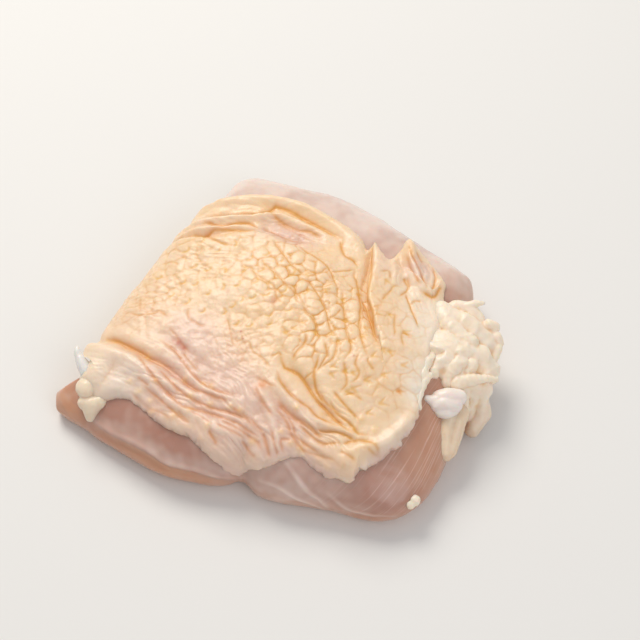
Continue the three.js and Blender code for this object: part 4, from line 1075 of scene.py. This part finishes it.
def plucked_skin():
    """Wet plucked chicken skin: corn-yellow fat shows through a clear skin, painted deeper orange as shade in
    its creases and hollows, and pink where it is thin over the meat, painted darker as shade in its broad
    valleys, with a soft gloss and a fine grain."""
    material, tree = new_material("plucked_skin")
    place = add_node(tree, "ShaderNodeTexCoord").outputs["Object"]
    mask = {
        name: add_node(tree, "ShaderNodeAttribute", attribute_name=name).outputs["Fac"]
        for name in ("crease", "yolk", "pink", "pale", "sheer", "orange", "blood", "hollow_shade", "valley_shade")
    }
    blotches = add_node(tree, "ShaderNodeTexNoise", {"Vector": place, "Scale": lumps_per_metre(9),
                                                     "Detail": 3.0})
    mottle = add_node(tree, "ShaderNodeTexNoise", {"Vector": place, "Scale": lumps_per_metre(2.2),
                                                   "Detail": 2.0})
    base = add_node(tree, "ShaderNodeMix", {0: blotches.outputs["Fac"], MIX_A: hex_colour("#f6dcc0"),
                                            MIX_B: hex_colour("#f1cd9e")}, data_type="RGBA")
    # Pink of the thin skin, painted darker in its broad valleys as shade
    thin = add_node(tree, "ShaderNodeMix", {0: mask["valley_shade"], MIX_A: hex_colour("#f4dac6"),
                                            MIX_B: hex_colour("#d8b09c")}, data_type="RGBA")
    uneven = add_node(tree, "ShaderNodeMath", {0: mottle.outputs["Fac"], 1: 0.7}, operation="ADD")
    show = add_node(tree, "ShaderNodeMath", {0: mask["pink"], 1: uneven.outputs[0]}, operation="MULTIPLY",
                    use_clamp=True)
    body = add_node(tree, "ShaderNodeMix", {0: show.outputs[0], MIX_A: base.outputs[MIX_OUT],
                                            MIX_B: thin.outputs[MIX_OUT]}, data_type="RGBA")
    # Orange painted as shade in the creases and hollows, on the yellow and on the pink skin
    deep = add_node(tree, "ShaderNodeMix", {0: show.outputs[0], MIX_A: hex_colour("#dfa04c"),
                                            MIX_B: hex_colour("#dba079")}, data_type="RGBA")
    furrow = add_node(tree, "ShaderNodeMath", {0: mask["hollow_shade"], 1: 0.35, 2: mask["crease"]},
                      operation="MULTIPLY_ADD", use_clamp=True)
    shaded_lines = add_node(tree, "ShaderNodeMath", {0: furrow.outputs[0], 1: 0.92}, operation="MULTIPLY")
    yolk = add_node(tree, "ShaderNodeMath", {0: mask["yolk"], 1: 0.55}, operation="MULTIPLY")
    layers = [
        # pale: the skin's own whitish torn edges, and painted highlight near the fat
        (mask["pale"], hex_colour("#f4e7d6")),
        (shaded_lines.outputs[0], deep.outputs[MIX_OUT]),
        (yolk.outputs[0], hex_colour("#ecb552")),
        (mask["sheer"], hex_colour("#e0c0ae")),
        (mask["orange"], hex_colour("#dd8a45")),
        (mask["blood"], hex_colour("#c05a4a")),
    ]
    colour = body.outputs[MIX_OUT]
    for share, shade in layers:
        layer = add_node(tree, "ShaderNodeMix", {0: share, MIX_A: colour, MIX_B: shade}, data_type="RGBA")
        colour = layer.outputs[MIX_OUT]
    grain = add_node(tree, "ShaderNodeTexNoise", {"Vector": place, "Scale": lumps_per_metre(0.9),
                                                  "Detail": 3.0})
    bump = add_node(tree, "ShaderNodeBump", {"Height": grain.outputs["Fac"], "Strength": 0.35,
                                             "Distance": 0.2 * MM})
    shader = add_node(tree, "ShaderNodeBsdfPrincipled", {
        "Base Color": colour, "Roughness": 0.42, "IOR": 1.4, "Subsurface Weight": 0.32,
        "Subsurface Radius": (2.0, 1.1, 0.6), "Subsurface Scale": MM, "Coat Weight": 0.22,
        "Coat Roughness": 0.22, "Normal": bump.outputs["Normal"],
    })
    add_node(tree, "ShaderNodeOutputMaterial", {"Surface": shader.outputs[0]})
    return material


def raw_meat():
    """Raw breast muscle under a clear film: pale pink, see-through and wet, with fine fibres that catch the
    light as pale lines, whiter where the film is thick and as painted highlight on the lit far side, painted
    warmer and browner as shade low down and below the cut ledge, and warm as a painted glow where light
    shines through."""
    material, tree = new_material("raw_meat")
    place = add_node(tree, "ShaderNodeTexCoord").outputs["Object"]
    film = add_node(tree, "ShaderNodeAttribute", attribute_name="film").outputs["Fac"]
    fibrous = add_node(tree, "ShaderNodeAttribute", attribute_name="fibrous").outputs["Fac"]
    grain = add_node(tree, "ShaderNodeAttribute", attribute_name="grain").outputs["Vector"]
    strands = add_node(tree, "ShaderNodeMapping", {"Vector": grain, "Scale": (1 / 0.55, 1 / 34, 1)})
    lines = add_node(tree, "ShaderNodeTexNoise", {"Vector": strands.outputs[0], "Scale": 1.0, "Detail": 3.0})
    sharp = add_node(tree, "ShaderNodeMapRange", {"Value": lines.outputs["Fac"], "From Min": 0.53,
                                                  "From Max": 0.7})
    shown = add_node(tree, "ShaderNodeMath", {0: sharp.outputs[0], 1: fibrous}, operation="MULTIPLY")
    faint = add_node(tree, "ShaderNodeMath", {0: shown.outputs[0], 1: 0.45}, operation="MULTIPLY")
    blotches = add_node(tree, "ShaderNodeTexNoise", {"Vector": place, "Scale": lumps_per_metre(14),
                                                     "Detail": 3.0})
    flesh = add_node(tree, "ShaderNodeMix", {0: blotches.outputs["Fac"], MIX_A: hex_colour("#c09383"),
                                             MIX_B: hex_colour("#b2816d")}, data_type="RGBA")
    high = add_node(tree, "ShaderNodeSeparateXYZ", {0: place})
    warm_glow_and_shade = add_node(tree, "ShaderNodeAttribute", attribute_name="warm").outputs["Fac"]
    # Painted shade: the meat turns warmer and browner low down, and where the warm mask says
    shade_low_down = add_node(tree, "ShaderNodeMapRange", {"Value": high.outputs["Z"], "From Min": 11 * MM,
                                                 "From Max": 1 * MM})
    low = add_node(tree, "ShaderNodeMath", {0: shade_low_down.outputs[0], 1: warm_glow_and_shade}, operation="MAXIMUM")
    film_and_highlight = add_node(tree, "ShaderNodeMath", {0: film, 1: 0.85}, operation="MULTIPLY")
    colour = flesh.outputs[MIX_OUT]
    for share, shade in ((low, "#d09a78"), (faint, "#f0d3c4"), (film_and_highlight, "#eedbce")):
        layer = add_node(tree, "ShaderNodeMix", {0: share.outputs[0], MIX_A: colour,
                                                 MIX_B: hex_colour(shade)}, data_type="RGBA")
        colour = layer.outputs[MIX_OUT]
    bump = add_node(tree, "ShaderNodeBump", {"Height": lines.outputs["Fac"], "Strength": 0.3,
                                             "Distance": 0.15 * MM})
    shader = add_node(tree, "ShaderNodeBsdfPrincipled", {
        "Base Color": colour, "Roughness": 0.3, "IOR": 1.4, "Subsurface Weight": 0.4,
        "Subsurface Radius": (4.0, 1.6, 1.0), "Subsurface Scale": MM, "Coat Weight": 0.4,
        "Coat Roughness": 0.12, "Normal": bump.outputs["Normal"],
    })
    add_node(tree, "ShaderNodeOutputMaterial", {"Surface": shader.outputs[0]})
    return material


def soft_fat(name, bright, cleft_colour, low_shade_colour, heights, roughness, weight):
    """Fresh chicken fat or gristle: pale, waxy and wet, a little yellower at random and, as painted shade, in
    the clefts between its lumps, and painted a shade colour below, between two heights in mm, where it lies
    low against the meat."""
    material, tree = new_material(name)
    place = add_node(tree, "ShaderNodeTexCoord").outputs["Object"]
    cleft = add_node(tree, "ShaderNodeAttribute", attribute_name="cleft").outputs["Fac"]
    blotches = add_node(tree, "ShaderNodeTexNoise", {"Vector": place, "Scale": lumps_per_metre(5),
                                                     "Detail": 3.0})
    tint = add_node(tree, "ShaderNodeMath", {0: blotches.outputs["Fac"], 1: 0.35, 2: cleft},
                    operation="MULTIPLY_ADD", use_clamp=True)
    base = add_node(tree, "ShaderNodeMix", {0: tint.outputs[0], MIX_A: hex_colour(bright),
                                            MIX_B: hex_colour(cleft_colour)}, data_type="RGBA")
    high = add_node(tree, "ShaderNodeSeparateXYZ", {0: place})
    low = add_node(tree, "ShaderNodeMapRange", {"Value": high.outputs["Z"], "From Min": heights[0] * MM,
                                                "From Max": heights[1] * MM})
    # Painted shade on the low part of the piece
    shaded_below = add_node(tree, "ShaderNodeMix", {0: low.outputs[0], MIX_A: base.outputs[MIX_OUT],
                                            MIX_B: hex_colour(low_shade_colour)}, data_type="RGBA")
    grain = add_node(tree, "ShaderNodeTexNoise", {"Vector": place, "Scale": lumps_per_metre(1.2),
                                                  "Detail": 3.0})
    bump = add_node(tree, "ShaderNodeBump", {"Height": grain.outputs["Fac"], "Strength": 0.3,
                                             "Distance": 0.25 * MM})
    shader = add_node(tree, "ShaderNodeBsdfPrincipled", {
        "Base Color": shaded_below.outputs[MIX_OUT], "Roughness": roughness, "IOR": 1.45, "Subsurface Weight": weight,
        "Subsurface Radius": (2.8, 1.9, 1.25), "Subsurface Scale": MM, "Coat Weight": 0.15,
        "Coat Roughness": 0.2, "Normal": bump.outputs["Normal"],
    })
    add_node(tree, "ShaderNodeOutputMaterial", {"Surface": shader.outputs[0]})
    return material


def pale_table():
    """A plain matt table of painted board, which gives soft shadows and no reflections."""
    material, tree = new_material("pale_table")
    paint = hex_colour("#e9e7e3")
    shader = add_node(tree, "ShaderNodeBsdfPrincipled", {"Base Color": paint, "Roughness": 0.7})
    add_node(tree, "ShaderNodeOutputMaterial", {"Surface": shader.outputs[0]})
    return material


# Table, light and camera

CAMERA_LENS, CAMERA_SENSOR = 85, 36  # mm
CAMERA_DISTANCE = 592
CAMERA_ELEVATION = 55  # degrees above the table
CAMERA_TARGET = np.array([13.7, 15.3, 0])  # the place on the table in the middle of the picture
TABLE_WIDTH = 6.0  # metres, wide enough to fill what the camera sees
LIGHT_AIM = (0, 0, 0.02)


def set_table():
    mesh = bpy.data.meshes.new("table")
    half = TABLE_WIDTH / 2
    corners = [(-half, -half, 0), (half, -half, 0), (half, half, 0), (-half, half, 0)]
    mesh.from_pydata(corners, [], [(0, 1, 2, 3)])
    mesh.materials.append(pale_table())
    table = bpy.data.objects.new("table", mesh)
    bpy.context.scene.collection.objects.link(table)


def add_light(name, place, aim, size, power, colour):
    lamp = bpy.data.lights.new(name, "AREA")
    lamp.shape = "DISK"
    lamp.size = size
    lamp.energy = power
    lamp.color = hex_colour(colour)[:3]
    light = bpy.data.objects.new(name, lamp)
    light.location = place
    light.rotation_euler = (Vector(aim) - Vector(place)).to_track_quat("-Z", "Y").to_euler()
    bpy.context.scene.collection.objects.link(light)


def set_lights():
    add_light("window", (-0.35, 0.75, 0.95), LIGHT_AIM, 0.7, 10.2, "#fffaf2")
    add_light("fill", (0.55, -0.75, 0.8), LIGHT_AIM, 1.0, 3.5, "#f8f8ff")
    world = bpy.data.worlds.new("room")
    world.use_nodes = True
    world.node_tree.nodes["Background"].inputs["Color"].default_value = hex_colour("#f4f5f7")
    world.node_tree.nodes["Background"].inputs["Strength"].default_value = 0.51
    bpy.context.scene.world = world
    bpy.context.scene.view_settings.view_transform = "Standard"


def set_camera():
    camera = bpy.data.objects.new("camera", bpy.data.cameras.new("camera"))
    camera.data.lens = CAMERA_LENS
    camera.data.sensor_width = CAMERA_SENSOR
    rise = math.radians(CAMERA_ELEVATION)
    back = np.array([0, -math.cos(rise), math.sin(rise)]) * CAMERA_DISTANCE
    camera.location = (CAMERA_TARGET + MIDDLE + back) * MM
    camera.rotation_euler = (math.pi / 2 - rise, 0, 0)
    bpy.context.scene.collection.objects.link(camera)
    bpy.context.scene.camera = camera


white_fat = soft_fat("fresh_white_fat", "#fcebd8", "#eecd9f", "#c8b297", (12, 3), 0.42, 0.5)
pale_fat = soft_fat("film_covered_fat", "#f8eee6", "#dfc2ac", "#c3a486", (19, 9), 0.34, 0.5)
tan_fat = soft_fat("cream_tan_fat", "#efd9bd", "#dfbd97", "#d3b08e", (14, 5), 0.36, 0.45)
knob_fat = soft_fat("dull_yellowish_fat", "#f3e2ca", "#dcb486", "#e6d2ba", (15, 11), 0.38, 0.45)
gristle = soft_fat("wet_gristle", "#ebe8e4", "#d9d0c4", "#dfc9b0", (18, 15), 0.25, 0.45)

make_muscle(raw_meat())
make_skin(plucked_skin())
make_fat("end_fat_lumps", "end_fat", white_fat, END_FAT_LUMPS, 0.45, 9, 0.3,
         [(7, 0.9), (2.8, 0.3)], 100, torn_at=(58, -22, 11))
make_fat("pale_lobe_fat", "pale_lobe", pale_fat, PALE_LOBE_LUMPS, 0.4, 8, 0.2,
         [(9, 0.35)], 140)
make_fat("long_lobe_fat", "long_lobe", tan_fat, LONG_LOBE_LUMPS, 0.4, 6, 0.2, [(9, 0.25)], 170)
make_fat("fat_knob_lumps", "fat_knob", knob_fat, KNOB_LUMPS, 0.4, 6, 0.3, [(6, 0.2)], 200)
make_fat("fat_fleck_lump", "fat_fleck", white_fat, [], 0.3, 3, 0.2, [(2.5, 0.2)], 230)
make_fat("gristle_horn", "gristle_tip", gristle, HORN_LUMPS, 0.3, 8, 0.2, [(3, 0.15)], 260)

set_table()
set_lights()
set_camera()
